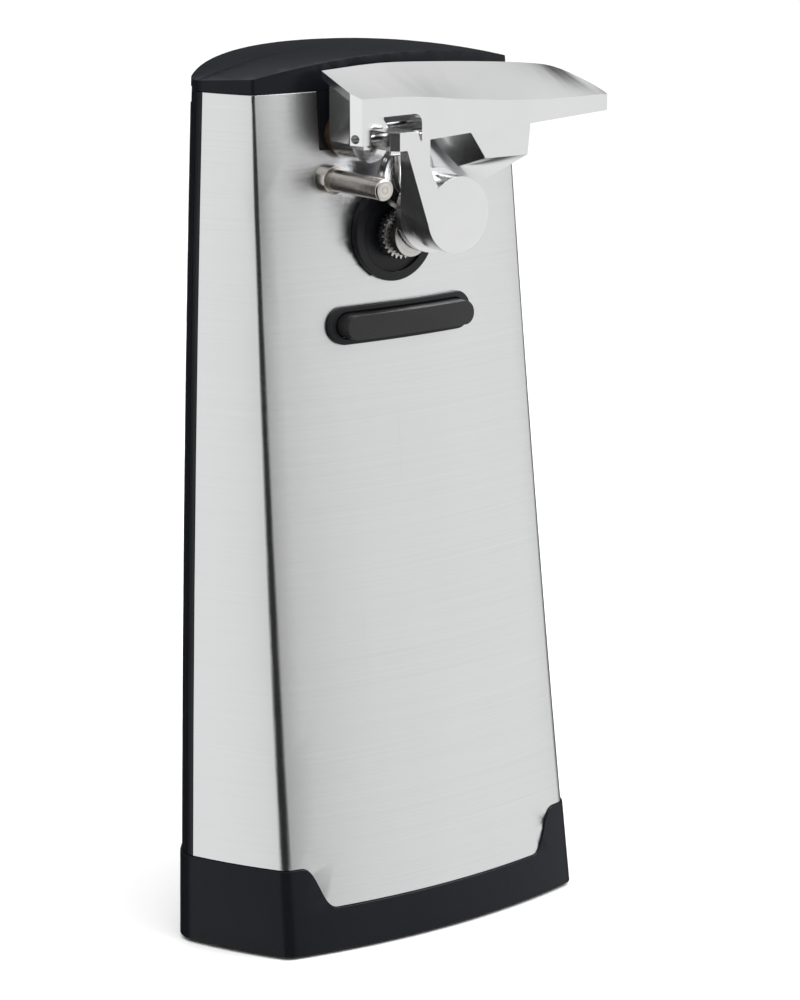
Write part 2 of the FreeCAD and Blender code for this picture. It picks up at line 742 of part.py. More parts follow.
hinge_y = size.arm_hinge_y
hinge_z = drive_z + size.arm_hinge_rise
notch_top = lever_top - 11.4
notch = box((size.notch_left, lever_front - 1, lever_top - 40),
            (size.notch_right, lever_front + 7.2, notch_top))
notch_edges = [edge for edge in notch.Edges
               if edge.BoundBox.ZMin > notch_top - 0.01 and edge.BoundBox.XLength < 0.01]
lever = lever.cut(notch.makeFillet(2.6, notch_edges))
lug_low = hinge_z - 2.8
lug_high = hinge_z + 3.4
lugs = [box((size.notch_left - 2.4, lever_front + 0.4, lug_low),
            (size.notch_left, lever_front + 6.6, lug_high)),
        box((size.notch_right, lever_front + 0.4, lug_low),
            (size.notch_right + 2.4, lever_front + 6.6, lug_high))]
hub_back = lever_rear - 0.2
hub_front = lever_rear - size.hub_length
hub = y_rod(size.hub_radius, hub_front, hub_back, size.pivot_x, pivot_z)
web = box((size.lever_left + panel_depth, hub_front + 2.0, pivot_z - 1.0),
          (size.drive_x + 26.0, hub_back - 0.4, lever_top - 14.4))
web_top = box((size.pivot_x - 6.0, hub_front + 2.0, pivot_z), (size.pivot_x + 6.0, hub_back - 0.4,
                                                              lever_top - 6.6))
lever = fused(lever, *lugs, hub, web, web_top)
post_shape = y_rod(size.post_radius + size.running_gap, -REACH, REACH, size.pivot_x, pivot_z)
keyed = box((size.pivot_x - 10, -REACH, pivot_z + size.post_flat + size.running_gap),
            (size.pivot_x + 10, REACH, pivot_z + 10))
lever = lever.cut(post_shape.cut(keyed))
lever = lever.cut(x_rod(size.arm_pin_radius, size.notch_left - 5, size.notch_right + 5, hinge_y,
                        hinge_z))

# cutter holder: a plate in front of the cutting wheel, held up inside the lever
cutter_z = drive_z + size.wheel_radius + size.cutter_radius - size.cutter_overlap
cutter_back = face_y - size.wheel_back - size.wheel_thick - size.easy_gap
cutter_front = cutter_back - size.cutter_thick
holder_back = cutter_front - 0.25
holder_front = holder_back - size.holder_thick
holder_round = 5.4
holder_top = pivot_z + 3.0
holder_left = size.pivot_x + size.hub_radius + 0.3
holder_right = size.cutter_x + holder_round
holder = fused(y_rod(holder_round, holder_front, holder_back, size.cutter_x, cutter_z),
               box((size.cutter_x - holder_round, holder_front, cutter_z),
                   (holder_right, holder_back, holder_top)),
               box((holder_left, holder_front, pivot_z - 5.2),
                   (holder_right, holder_back, holder_top)))
lever = lever.cut(box((holder_left - 0.1, holder_front - 0.1, pivot_z - 20),
                      (holder_right + 0.1, holder_back + 0.05, holder_top + 0.1)))
axle_radius = size.cutter_bore - size.running_gap
holder = holder.cut(y_rod(axle_radius - 0.6, -REACH, REACH, size.cutter_x, cutter_z))
holder_screw_x = size.cutter_x + 2.6
holder_screw_z = pivot_z - 0.7
holder = holder.cut(y_rod(1.3, -REACH, REACH, holder_screw_x, holder_screw_z))
lever = lever.cut(y_rod(1.0, holder_back - 0.5, holder_back + 3.6, holder_screw_x, holder_screw_z))
feature("cutter_holder", holder)


holder_screw = screw(holder_screw_x, holder_screw_z, holder_front, 5.4, 0.98, 2.0, 1.2, towards=1)
feature("holder_screw", holder_screw)
AXLE_END = f"({CUTTER_BACK} + running_gap + 0.2)"
HOLDER_BACK = f"({CUTTER_FRONT} - 0.25)"
AXLE_RADIUS = "(cutter_bore - running_gap)"
axle_body = bar(AXLE_RADIUS, HOLDER_BACK, AXLE_END, "cutter_x", CUTTER_Z)
axle_rivet = bar(f"{AXLE_RADIUS} - 0.62", f"({HOLDER_BACK} - holder_thick + 0.1)", AXLE_END,
                 "cutter_x", CUTTER_Z)
axle_head = bar(f"{AXLE_RADIUS} + 0.9", AXLE_END, f"({AXLE_END} + 0.9)", "cutter_x", CUTTER_Z)
node(joined(axle_body, axle_rivet, axle_head), "cutter_axle")

cutter_edge = "0.5"
bevel = primitive("Part::Cone", TO_FRONT, Radius1="cutter_radius", Radius2="cutter_radius - 1.1",
                  Height=f"cutter_thick - {cutter_edge}", x="cutter_x",
                  y=f"{CUTTER_BACK} - {cutter_edge}", z=CUTTER_Z)
rim = bar("cutter_radius", f"({CUTTER_BACK} - {cutter_edge})", CUTTER_BACK, "cutter_x", CUTTER_Z)
cutter_hole = bar("cutter_bore", f"({CUTTER_FRONT} - 1)", f"({CUTTER_BACK} + 1)", "cutter_x",
                  CUTTER_Z)
node(cut(joined(bevel, rim), cutter_hole), "cutting_wheel")

# can guide: the block under the lever that bears on the rim, sloped back towards the face
guide_left = size.drive_x + 21.2
guide_top = lever_top - 17.0
guide_front = lever_rear - 5.6
guide_rear = lever_rear - 0.2
upper = [vector(guide_left + x, guide_front, guide_top - drop)
         for x, drop in ((0.0, 0.0), (7.4, 10.6), (22.4, 10.9), (23.6, 0.0))]
lower = [vector(guide_left + x, guide_rear, guide_top - drop)
         for x, drop in ((-12.0, 0.0), (2.0, 13.0), (9.0, 18.4), (24.6, 0.0))]
guide = Part.makeLoft([Part.makePolygon(upper + upper[:1]), Part.makePolygon(lower + lower[:1])],
                      True, True)
guide_root = box((guide_left + 1.5, guide_front + 1.2, guide_top - 0.5),
                 (guide_left + 18.0, guide_rear - 1.0, guide_top + 5.0))
guide = fused(guide, guide_root)
feature("can_guide", guide)
feature("lever_handle", lever.cut(guide))

# ---------------------------------------------------------------- lever post and its spring
POST_FRONT = f"({LEVER_REAR} - hub_length + 0.8)"
post_bar = bar("post_radius", POST_FRONT, POST_BACK, "pivot_x", PIVOT_Z)
post_collar = bar("post_radius + 1.4", f"({LEVER_REAR} + 5.2)", f"({LEVER_REAR} + 6.2)", "pivot_x",
                  PIVOT_Z)
post_key = block("pivot_x - 10", f"{POST_FRONT} - 1", f"{PIVOT_Z} + post_flat", "20",
                 "hub_length + 0.7", "10")
node(cut(joined(post_bar, post_collar), post_key), "lever_post")

BUSH_FRONT = f"({LEVER_REAR} + 0.25)"
BUSH_BACK = f"({LEVER_REAR} + 5)"
bush_wall = bar("post_radius + bush_wall", BUSH_FRONT, BUSH_BACK, "pivot_x", PIVOT_Z)
bush_bore = bar("post_radius + running_gap", f"({BUSH_FRONT} - 1)", f"({BUSH_BACK} + 1)",
                "pivot_x", PIVOT_Z)
node(cut(bush_wall, bush_bore), "lever_bushing")

# ---------------------------------------------------------------- magnet arm
arm_front = size.arm_front_y
magnet_z = drive_z + size.magnet_rise
arm_top = hinge_z + 1.9
magnet_back = arm_front + size.magnet_depth
arm_right = size.arm_left + size.arm_width
holder_drum = fused(y_rod(size.magnet_cover_radius, arm_front, magnet_back, size.magnet_x, magnet_z),
                    y_rod(size.magnet_cover_radius + size.magnet_lip,
                          magnet_back - size.magnet_lip_width, magnet_back, size.magnet_x, magnet_z))
blade_points = [vector(size.arm_left, arm_front, arm_top), vector(arm_right, arm_front, arm_top),
                vector(size.magnet_x - 6.4, arm_front, magnet_z + 6.6),
                vector(size.magnet_x, arm_front, magnet_z - 2.0),
                vector(size.magnet_x - size.magnet_cover_radius + 0.4, arm_front, magnet_z - 2.6)]
blade = Part.Face(Part.makePolygon(blade_points + blade_points[:1])).extrude(
    vector(0, size.magnet_depth, 0))
side_points = [vector(-REACH, arm_front, arm_top + 1), vector(-REACH, arm_front + 2.6, arm_top + 1),
               vector(-REACH, arm_front + 2.8, arm_top - 4.0),
               vector(-REACH, arm_front + 8.0, magnet_z + 7.0),
               vector(-REACH, magnet_back, magnet_z - 2.0), vector(-REACH, magnet_back, magnet_z - 12),
               vector(-REACH, arm_front, magnet_z - 12)]
side_shape = Part.Face(Part.makePolygon(side_points + side_points[:1])).extrude(
    vector(2 * REACH, 0, 0))
blade = blade.common(side_shape)
ear_left = size.notch_left + 1.4
ear_right = size.notch_right - 1.4
ear_back = hinge_y + 3.0
ear = box((ear_left + 1.2, arm_front, hinge_z - 3.0), (arm_right, ear_back, arm_top))
ear_rounds = [edge for edge in ear.Edges if edge.BoundBox.YMin > ear_back - 0.01
              and edge.BoundBox.XLength > 1]
ear = ear.makeFillet(2.2, ear_rounds)
ear_bevel = Part.Face(Part.makePolygon([vector(ear_left - 1, arm_front - 1, hinge_z + 12),
                                        vector(ear_left - 1, arm_front + 4.4, hinge_z + 12),
                                        vector(size.arm_left + 0.1, arm_front - 1, hinge_z + 12),
                                        vector(ear_left - 1, arm_front - 1, hinge_z + 12)]))
ear = ear.cut(ear_bevel.extrude(vector(0, 0, -30)))
arm = fused(holder_drum, blade, ear)
arm = arm.cut(x_rod(size.arm_pin_radius + size.running_gap, -REACH, REACH, hinge_y, hinge_z))
arm = arm.cut(y_rod(size.magnet_cover_radius - 1.1, magnet_back - size.magnet_pocket, magnet_back + 1,
                    size.magnet_x, magnet_z))
feature("magnet_arm", arm)
node(primitive("Part::Cylinder", TO_SIDE, Radius="arm_pin_radius",
               Height="notch_right - notch_left + 4.4", x="notch_left - 2.2", y="arm_hinge_y",
               z=HINGE_Z), "arm_hinge_pin")

MAGNET_FRONT = f"({MAGNET_BACK} - magnet_height - 0.9)"
yoke_cup = bar("magnet_cover_radius - 1.2", f"({MAGNET_BACK} - magnet_pocket)",
               f"({MAGNET_BACK} - 0.9)", "magnet_x", MAGNET_Z)
yoke_hollow = bar("magnet_radius + running_gap", MAGNET_FRONT, MAGNET_BACK, "magnet_x", MAGNET_Z)
node(cut(yoke_cup, yoke_hollow), "magnet_yoke")
node(bar("magnet_radius", MAGNET_FRONT, f"({MAGNET_BACK} - 0.7)", "magnet_x", MAGNET_Z), "magnet")

# ---------------------------------------------------------------- gears
pressure_angle = math.radians(20)


def involute(angle):
    return math.tan(angle) - angle


def gear(teeth, module, width, front, x, z, heading):
    """A spur gear along Y with a tooth that points along heading, in degrees from +X to +Z."""
    pitch = module * teeth / 2
    base = pitch * math.cos(pressure_angle)
    tip = pitch + 0.85 * module
    root = pitch - 1.15 * module
    half_tooth = math.pi / (2 * teeth) - size.tooth_thinning / pitch

    def half_angle(radius):
        turn = math.acos(min(1.0, base / radius))
        return half_tooth + involute(pressure_angle) - involute(turn)

    start = max(base, root)
    radii = [start + (tip - start) * share for share in (0, 0.35, 0.7, 1)]
    flank = [(radius, half_angle(radius)) for radius in radii]
    if root < base:
        flank.insert(0, (root, half_angle(base) * 0.92))
    points = []
    for index in range(int(teeth)):
        middle = math.radians(heading) + 2 * math.pi * index / teeth
        sides = [(radius, middle - angle) for radius, angle in flank]
        sides += [(radius, middle + angle) for radius, angle in reversed(flank)]
        points += [vector(x + radius * math.cos(angle), front, z + radius * math.sin(angle))
                   for radius, angle in sides]
    face = Part.Face(Part.makePolygon(points + points[:1]))
    return face.extrude(vector(0, width, 0))


def step_place(start, distance, degrees):
    angle = math.radians(degrees)
    return (start[0] + distance * math.cos(angle), start[1] + distance * math.sin(angle))


def facing(teeth, towards):
    """The heading that puts a gap of this gear on the line to its neighbour."""
    return towards + 180 / teeth


slow_distance = size.module_slow * (size.drive_teeth + size.second_pinion_teeth) / 2 + size.mesh_gap
middle_distance = size.module_middle * (size.second_teeth + size.first_pinion_teeth) / 2
middle_distance += size.mesh_gap
fast_distance = size.module_fast * (size.first_teeth + size.rotor_teeth) / 2 + size.mesh_gap
drive_place = (size.drive_x, drive_z)
second_place = step_place(drive_place, slow_distance, size.slow_angle)
first_place = step_place(second_place, middle_distance, size.middle_angle)
rotor_place = step_place(first_place, fast_distance, size.fast_angle)

slow_front = plate_front + size.plate_thick + size.layer_gap
slow_back = slow_front + size.slow_width
middle_front = slow_back + size.layer_gap
middle_back = middle_front + size.middle_width
fast_front = middle_back + size.layer_gap
fast_back = fast_front + size.fast_width
rear_plate_front = fast_back + size.layer_gap
rear_plate_back = rear_plate_front + size.plate_thick


def bored(shape, radius, place):
    return shape.cut(y_rod(radius, -REACH, REACH, *place))


drive_gear = gear(size.drive_teeth, size.module_slow, size.slow_width, slow_front, *drive_place,
                  size.slow_angle)
for index in range(5):
    hole_place = step_place(drive_place, 11.0, 72 * index + 20)
    drive_gear = bored(drive_gear, 3.2, hole_place)
feature("drive_gear", bored(drive_gear, size.drive_shaft_radius, drive_place))

bore = size.gear_bore + size.running_gap
second = gear(size.second_teeth, size.module_middle, size.middle_width, middle_front,
              *second_place, size.middle_angle)
second_pinion = gear(size.second_pinion_teeth, size.module_slow, size.slow_width + size.layer_gap,
                     slow_front, *second_place,
                     facing(size.second_pinion_teeth, size.slow_angle + 180))
feature("second_gear", bored(fused(second, second_pinion), bore, second_place))
first = gear(size.first_teeth, size.module_fast, size.fast_width, fast_front, *first_place,
             size.fast_angle)
first_pinion = gear(size.first_pinion_teeth, size.module_middle,
                    size.middle_width + size.layer_gap, middle_front, *first_place,
                    facing(size.first_pinion_teeth, size.middle_angle + 180))
feature("first_gear", bored(fused(first, first_pinion), bore, first_place))
rotor_pinion = gear(size.rotor_teeth, size.module_fast, size.fast_width, fast_front, *rotor_place,
                    facing(size.rotor_teeth, size.fast_angle + 180))
feature("rotor_pinion", bored(rotor_pinion, 1.5, rotor_place))
for name, place in (("first_gear_post", first_place), ("second_gear_post", second_place)):
    feature(name, y_rod(size.gear_bore, plate_front, rear_plate_back, *place))

# ---------------------------------------------------------------- drive shaft and wheel
wheel_back = face_y - size.wheel_back
wheel_front = wheel_back - size.wheel_thick
shaft_radius = size.drive_shaft_radius
shaft = fused(y_rod(shaft_radius, wheel_back + 0.1, rear_plate_front - 0.2, *drive_place),
              y_rod(shaft_radius - 1.0, wheel_front - size.wheel_hub_length + 0.6,
                    rear_plate_back + 1.2, *drive_place))
feature("drive_shaft", shaft)
tooth_count = int(size.wheel_teeth)
wheel_points = []
for index in range(tooth_count):
    for share, radius in ((0.0, size.wheel_radius), (0.22, size.wheel_radius),
                          (0.5, size.wheel_radius - 0.9), (0.72, size.wheel_radius - 0.9)):
        angle = 2 * math.pi * (index + share) / tooth_count
        wheel_points.append(vector(size.drive_x + radius * math.cos(angle), wheel_front,
                                   drive_z + radius * math.sin(angle)))
toothed = Part.Face(Part.makePolygon(wheel_points + wheel_points[:1])).extrude(
    vector(0, size.wheel_thick, 0))
hub_disc = y_rod(size.wheel_hub_radius, wheel_front - size.wheel_hub_length, wheel_front,
                 *drive_place)
hub_disc = hub_disc.makeChamfer(0.5, [edge for edge in hub_disc.Edges
                                      if edge.BoundBox.YMax < wheel_front - 1])
drive_wheel = fused(toothed, hub_disc)
drive_wheel = drive_wheel.cut(y_rod(shaft_radius - 1.0, -REACH, REACH, *drive_place))
feature("drive_wheel", drive_wheel)

# ---------------------------------------------------------------- gear plates
right_edge = [(-27.5, -22.5), (33.5, -32.0), (38.5, -24.0), (39.0, 8.0), (34.0, 22.0),
              (15.5, 38.0)]
front_plate_edge = right_edge + [(7.5, 37.5), (-10.0, 14.0), (-27.5, -12.0)]
rear_plate_edge = right_edge + [(-19.5, 33.0), (-27.5, -12.0)]


bolt_places = [(rotor_place[0] + side * (size.stack_width / 2 - 4.0),
                rotor_place[1] + size.stack_above - 6.0) for side in (-1, 1)]


def frame_plate(front, edge, holes):
    points = [vector(size.drive_x + x, front, drive_z + z) for x, z in edge]
    plate = Part.Face(Part.makePolygon(points + points[:1])).extrude(vector(0, size.plate_thick, 0))
    for radius, place in holes:
        plate = bored(plate, radius, place)
    return plate


stand_hole = 1.3
stands = [(stand_hole, place) for place in stand_places]
posts = [(size.gear_bore, first_place), (size.gear_bore, second_place)]
feature("gear_plate_front", frame_plate(plate_front, front_plate_edge, stands + posts +
                                        [(shaft_radius + size.running_gap, drive_place)]))
rotor_bush_radius = 4.0
feature("gear_plate_rear", frame_plate(rear_plate_front, rear_plate_edge, stands + posts +
                                       [(shaft_radius - 1.0 + size.running_gap, drive_place),
                                        (rotor_bush_radius, rotor_place)] +
                                       [(1.5, place) for place in bolt_places]))
spacers = []
frame_screws = []
for place in stand_places:
    spacer = y_rod(2.4, plate_front + size.plate_thick, rear_plate_front, *place)
    spacers.append(bored(spacer, stand_hole, place))
    frame_screws.append(screw(*place, rear_plate_back, rear_plate_back - plate_front + 2.4, 1.0,
                              2.4, 1.3))
feature("plate_spacers", Part.makeCompound(spacers))
feature("frame_screws", Part.makeCompound(frame_screws))

# ---------------------------------------------------------------- motor
stack_front = rear_plate_back + size.stack_setback
stack_back = stack_front + size.stack_thick
stack_top = rotor_place[1] + size.stack_above
stack_low = stack_top - size.stack_height
stack_left = rotor_place[0] - size.stack_width / 2
stack_right = rotor_place[0] + size.stack_width / 2
core_high = stack_low + 13.0
leg = 9.0
window_high = stack_top - 2 * size.stack_above + 1.0
stator = box((stack_left, stack_front, stack_low), (stack_right, stack_back, stack_top))
corners = [edge for edge in stator.Edges if edge.BoundBox.YLength > 1]
stator = stator.makeFillet(3.0, corners)
stator = stator.cut(box((stack_left + leg, -REACH, core_high), (stack_right - leg, REACH,
                                                                window_high)))
bore_radius = size.rotor_radius + size.air_gap
stator = bored(stator, bore_radius, rotor_place)
for place in bolt_places:
    stator = bored(stator, 1.7, place)
feature("stator_core", stator)
bobbin_half = size.stack_width / 2 - leg - 0.3
bobbin = box((rotor_place[0] - bobbin_half, stack_front - size.coil_over, stack_low - size.coil_over),
             (rotor_place[0] + bobbin_half, stack_back + size.coil_over, core_high + size.coil_over))
bobbin = bobbin.cut(box((-REACH, stack_front - 0.2, stack_low - 0.2),
                        (REACH, stack_back + 0.2, core_high + 0.2)))
wire_half = bobbin_half - 1.4
winding = box((rotor_place[0] - wire_half, stack_front - size.coil_over - 0.1,
               stack_low - size.coil_over - 0.1),
              (rotor_place[0] + wire_half, stack_back + size.coil_over + 0.1,
               core_high + size.coil_over + 0.1))
tube = box((-REACH, stack_front - 1.4, stack_low - 1.4), (REACH, stack_back + 1.4, core_high + 1.4))
winding = winding.cut(tube)
bobbin = bobbin.cut(winding)
feature("coil_bobbin", bobbin)
feature("coil_winding", winding.common(box((rotor_place[0] - wire_half + 0.05, -REACH, -REACH),
                                           (rotor_place[0] + wire_half - 0.05, REACH, REACH * 2))))
rotor_front = stack_front - 0.8
rotor_back = stack_back + 0.8
feature("rotor", bored(y_rod(size.rotor_radius, rotor_front, rotor_back, *rotor_place),
                       size.rotor_shaft_radius, rotor_place))
stone_front = stack_back + 4.8
stone_back = stone_front + size.stone_thick
rotor_shaft = fused(y_rod(size.rotor_shaft_radius, fast_back + 0.1, stone_back + 1.0, *rotor_place),
                    y_rod(1.5, fast_front, fast_back + 0.2, *rotor_place))
feature("rotor_shaft", rotor_shaft)
stone = bored(y_rod(size.stone_radius, stone_front, stone_back, *rotor_place),
              size.rotor_shaft_radius, rotor_place)
feature("sharpening_stone", stone)
shaft_bore = size.rotor_shaft_radius + size.running_gap
front_bearing = fused(y_rod(rotor_bush_radius, rear_plate_front + 0.2, rear_plate_back + 2.8,
                            *rotor_place),
                      y_rod(rotor_bush_radius + 1.2, rear_plate_back, rear_plate_back + 1.2,
                            *rotor_place))
feature("front_bearing", bored(front_bearing, shaft_bore, rotor_place))
strap_front = stack_back + 2.0
strap_back = strap_front + 1.2
strap = box((stack_left, strap_front, rotor_place[1] - 6), (stack_right, strap_back, stack_top))
feet_of_strap = [box((stack_left, stack_back, rotor_place[1] + 6.0),
                     (stack_left + 8.0, strap_back, stack_top)),
                 box((stack_right - 8.0, stack_back, rotor_place[1] + 6.0),
                     (stack_right, strap_back, stack_top))]
strap = bored(fused(strap, *feet_of_strap), rotor_bush_radius, rotor_place)
for place in bolt_places:
    strap = bored(strap, 1.7, place)
feature("bearing_strap", strap)
rear_bearing = y_rod(rotor_bush_radius, strap_front - 1.0, strap_back + 0.6, *rotor_place)
feature("rear_bearing", bored(rear_bearing, shaft_bore, rotor_place))
motor_bolts = []
motor_stands = []
for place in bolt_places:
    motor_bolts.append(screw(*place, strap_back, strap_back - rear_plate_front - 0.2, 1.5, 2.8, 1.4))
    stand = y_rod(3.0, rear_plate_back, stack_front, *place)
    motor_stands.append(bored(stand, 1.7, place))
feature("motor_bolts", Part.makeCompound(motor_bolts))
feature("motor_spacers", Part.makeCompound(motor_stands))

# ---------------------------------------------------------------- switch
CAM_BACK = f"({POST_BACK} - 0.4)"
CAM_FRONT = f"({CAM_BACK} - 3)"
cam_disc = bar("6", CAM_FRONT, CAM_BACK, "pivot_x", PIVOT_Z)
cam_arm = block("pivot_x - 13", CAM_FRONT, f"{PIVOT_Z} - cam_half", "13", "3", "2 * cam_half")
cam_bore = bar("post_radius", f"({CAM_FRONT} - 1)", f"({CAM_BACK} + 1)", "pivot_x", PIVOT_Z)
node(cut(joined(cam_disc, cam_arm), cam_bore), "switch_cam")

SWITCH_LOW = f"({PIVOT_Z} + cam_half + 2.2)"
PLUNGER_X = "pivot_x - 10"
PLUNGER_Y = f"{CAM_BACK} - 1.5"
PLUNGER_LOW = f"({PIVOT_Z} + cam_half + easy_gap)"
switch_case = block("pivot_x - 15", f"{CAM_BACK} - 3.4", SWITCH_LOW, "10", "5.4", "6")
well = upright("plunger_radius + running_gap", f"{SWITCH_LOW} - 1", "switch_well + 1", PLUNGER_X,
               PLUNGER_Y)
node(cut(switch_case, well), "switch_body")
node(upright("plunger_radius", PLUNGER_LOW,
             f"{SWITCH_LOW} + switch_well - switch_travel - 0.4 - {PLUNGER_LOW}", PLUNGER_X,
             PLUNGER_Y), "switch_plunger")

# ---------------------------------------------------------------- checks and files
document.recompute()
for item in document.Objects:
    if "Invalid" in item.State or "Error" in item.State:
        raise RuntimeError(f"{item.Label} did not build: {item.State}")
for item in nodes:
    if item.Shape.isNull() or not item.Shape.isValid():
        raise RuntimeError(f"{item.Label} has no valid shape")
os.makedirs("parts", exist_ok=True)
for item in nodes:
    item.Shape.exportStep(f"parts/{item.Label}.step")
    print(item.Label, len(item.Shape.Solids), round(item.Shape.Volume, 1))
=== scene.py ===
# %% [markdown]
# # An upright electric can opener
# The opener is a tall tower in a brushed steel jacket on a black plastic base. A chrome cutting
# lever, a magnet on a swinging arm, a toothed drive wheel and a soft can rest sit on its face.
# The solid parts come in as a fixed frame. Everything made here is laid over that frame in
# metres, so each piece lands exactly where the machine needs it.

# %% Load the frame
import json
import math

import bmesh
import bpy
import numpy as np
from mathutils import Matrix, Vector


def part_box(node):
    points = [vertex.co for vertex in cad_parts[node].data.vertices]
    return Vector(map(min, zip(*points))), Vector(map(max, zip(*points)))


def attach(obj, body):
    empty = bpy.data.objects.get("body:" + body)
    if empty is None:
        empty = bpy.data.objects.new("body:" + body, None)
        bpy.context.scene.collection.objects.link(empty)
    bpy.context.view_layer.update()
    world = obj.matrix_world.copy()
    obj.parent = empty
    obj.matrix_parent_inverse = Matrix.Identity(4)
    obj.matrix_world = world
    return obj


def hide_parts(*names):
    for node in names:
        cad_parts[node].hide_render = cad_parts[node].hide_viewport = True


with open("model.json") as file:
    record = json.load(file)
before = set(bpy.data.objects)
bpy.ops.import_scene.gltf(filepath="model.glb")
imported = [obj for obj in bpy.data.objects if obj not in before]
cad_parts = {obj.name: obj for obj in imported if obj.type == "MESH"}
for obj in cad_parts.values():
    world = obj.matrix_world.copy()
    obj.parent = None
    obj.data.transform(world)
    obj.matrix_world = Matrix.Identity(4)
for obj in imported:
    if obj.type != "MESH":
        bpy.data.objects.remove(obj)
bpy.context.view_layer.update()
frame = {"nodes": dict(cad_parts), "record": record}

MM = 0.001

# %% [markdown]
# ## A wire that can do sums
# Shader and geometry trees are easier to read as sums than as a web of boxes. This class holds
# one output socket and gives it plus, minus, times and divide, each of which adds a Math node.
# Its `node` method adds any other node: the type first, then its settings, then its sockets.


# %% The wire class
class Wire:
    def __init__(self, tree, socket=None):
        self.tree = tree
        self.socket = socket

    def node(self, kind, settings=None, sockets=None, output=0):
        made = self.tree.nodes.new(kind)
        for name, value in (settings or {}).items():
            if name == "stops":
                ramp = made.color_ramp
                while len(ramp.elements) < len(value):
                    ramp.elements.new(1.0)
                for stop, (place, colour) in zip(ramp.elements, value):
                    stop.position = place
                    stop.color = (*colour, 1.0)
            else:
                setattr(made, name, value)
        for name, value in (sockets or {}).items():
            if isinstance(value, list):
                for each in value:
                    self.tree.links.new(each.socket, made.inputs[name])
            elif isinstance(value, Wire):
                self.tree.links.new(value.socket, made.inputs[name])
            else:
                made.inputs[name].default_value = value
        return Wire(self.tree, made.outputs[output])

    def maths(self, operation, first, second=0.0):
        return self.node("ShaderNodeMath", {"operation": operation}, {0: first, 1: second})

    def __add__(self, other):
        return self.maths("ADD", self, other)

    __radd__ = __add__

    def __sub__(self, other):
        return self.maths("SUBTRACT", self, other)

    def __rsub__(self, other):
        return self.maths("SUBTRACT", other, self)

    def __mul__(self, other):
        return self.maths("MULTIPLY", self, other)

    __rmul__ = __mul__

    def __truediv__(self, other):
        return self.maths("DIVIDE", self, other)

    def __rtruediv__(self, other):
        return self.maths("DIVIDE", other, self)

    def clamped(self):
        return self.maths("MINIMUM", self.maths("MAXIMUM", self, 0.0), 1.0)


# %% [markdown]
# ## One recipe for every finish
# A real surface is never one flat colour. Each finish below starts from two close colours, a
# roughness that wanders between two values and a fine relief. The pattern is read in object
# coordinates, in repeats per metre along X, Y and Z, so grain can run along one direction.


# %% Helpers for finishes
def grain(wire, repeats, detail=3.0, roughness=0.6, distortion=0.0):
    """Noise from 0 to 1 that repeats this often per metre along X, Y and Z."""
    place = wire.node("ShaderNodeTexCoord", output="Object")
    scaled = wire.node("ShaderNodeMapping", {}, {"Vector": place, "Scale": repeats})
    return wire.node("ShaderNodeTexNoise", {}, {
        "Vector": scaled, "Scale": 1.0, "Detail": detail, "Roughness": roughness,
        "Distortion": distortion})


def finish(name, colours, roughness, metallic=0.0, blotch=None, relief=None, **constants):
    """A material whose colour and roughness follow blotch and whose bump follows relief."""
    material = bpy.data.materials.new(name)
    material.use_nodes = True
    tree = material.node_tree
    shader = tree.nodes["Principled BSDF"]
    wire = Wire(tree)
    mask = blotch(wire) if blotch else grain(wire, (60, 60, 60))
    tint = wire.node("ShaderNodeMix", {"data_type": "RGBA"}, {
        "Factor": mask.clamped(), 6: (*colours[0], 1.0), 7: (*colours[1], 1.0)}, output=2)
    tree.links.new(tint.socket, shader.inputs["Base Color"])
    rough = roughness[0] + (roughness[1] - roughness[0]) * mask
    tree.links.new(rough.clamped().socket, shader.inputs["Roughness"])
    shader.inputs["Metallic"].default_value = metallic
    for socket, value in constants.items():
        shader.inputs[socket.replace("_", " ")].default_value = value
    if relief:
        height, strength, depth = relief(wire)
        bump = wire.node("ShaderNodeBump", {}, {
            "Height": height, "Strength": strength, "Distance": depth})
        tree.links.new(bump.socket, shader.inputs["Normal"])
    print("finish", name, len(tree.nodes), "nodes")
    return material


def rings(wire, centre, per_metre):
    """Waves from 0 to 1 around an axis along Y, such as the marks that a lathe leaves."""
    place = wire.node("ShaderNodeTexCoord", output="Object")
    parts = {axis: wire.node("ShaderNodeSeparateXYZ", {}, {"Vector": place}, output=axis)
             for axis in ("X", "Z")}
    across = parts["X"] - centre.x
    up = parts["Z"] - centre.z
    distance = wire.maths("SQRT", across * across + up * up)
    wave = wire.maths("SINE", distance * (2 * math.pi * per_metre))
    return wave * 0.5 + 0.5


def middle(node):
    low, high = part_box(node)
    return (low + high) / 2


# %% [markdown]
# ## Brushed steel for the jacket
# The jacket is stainless sheet brushed from side to side, so its scratches run level around the
# tower and light smears up and down across them. Two noises stretched along X and Y give the
# fine scratches and the broader bands that a sanding belt leaves, and a third, soft one gives
# the slow cloudiness of a large sheet. Most of the look comes from the relief, not the colour.

# %% Brushed steel
def brushed_mask(wire):
    fine = grain(wire, (14, 14, 5200), detail=4.0, roughness=0.75)
    bands = grain(wire, (5, 5, 420), detail=3.0)
    cloud = grain(wire, (22, 22, 9), detail=2.0)
    return fine * 0.6 + bands * 0.12 + cloud * 0.28


brushed_steel = finish(
    "brushed_steel", ((0.66, 0.665, 0.67), (0.86, 0.865, 0.87)), (0.2, 0.3), 1.0,
    brushed_mask,
    lambda wire: (grain(wire, (16, 16, 6000), detail=4.0, roughness=0.8), 0.22, 0.00012))

# %% [markdown]
# ## Chrome for the lever and the magnet arm
# Both are cast, polished and plated. Plating is bright but never a perfect mirror: it follows
# the faint waves of the polished casting below. A low, wide relief gives those waves, and the
# roughness stays low with soft patches where hands have dulled it.

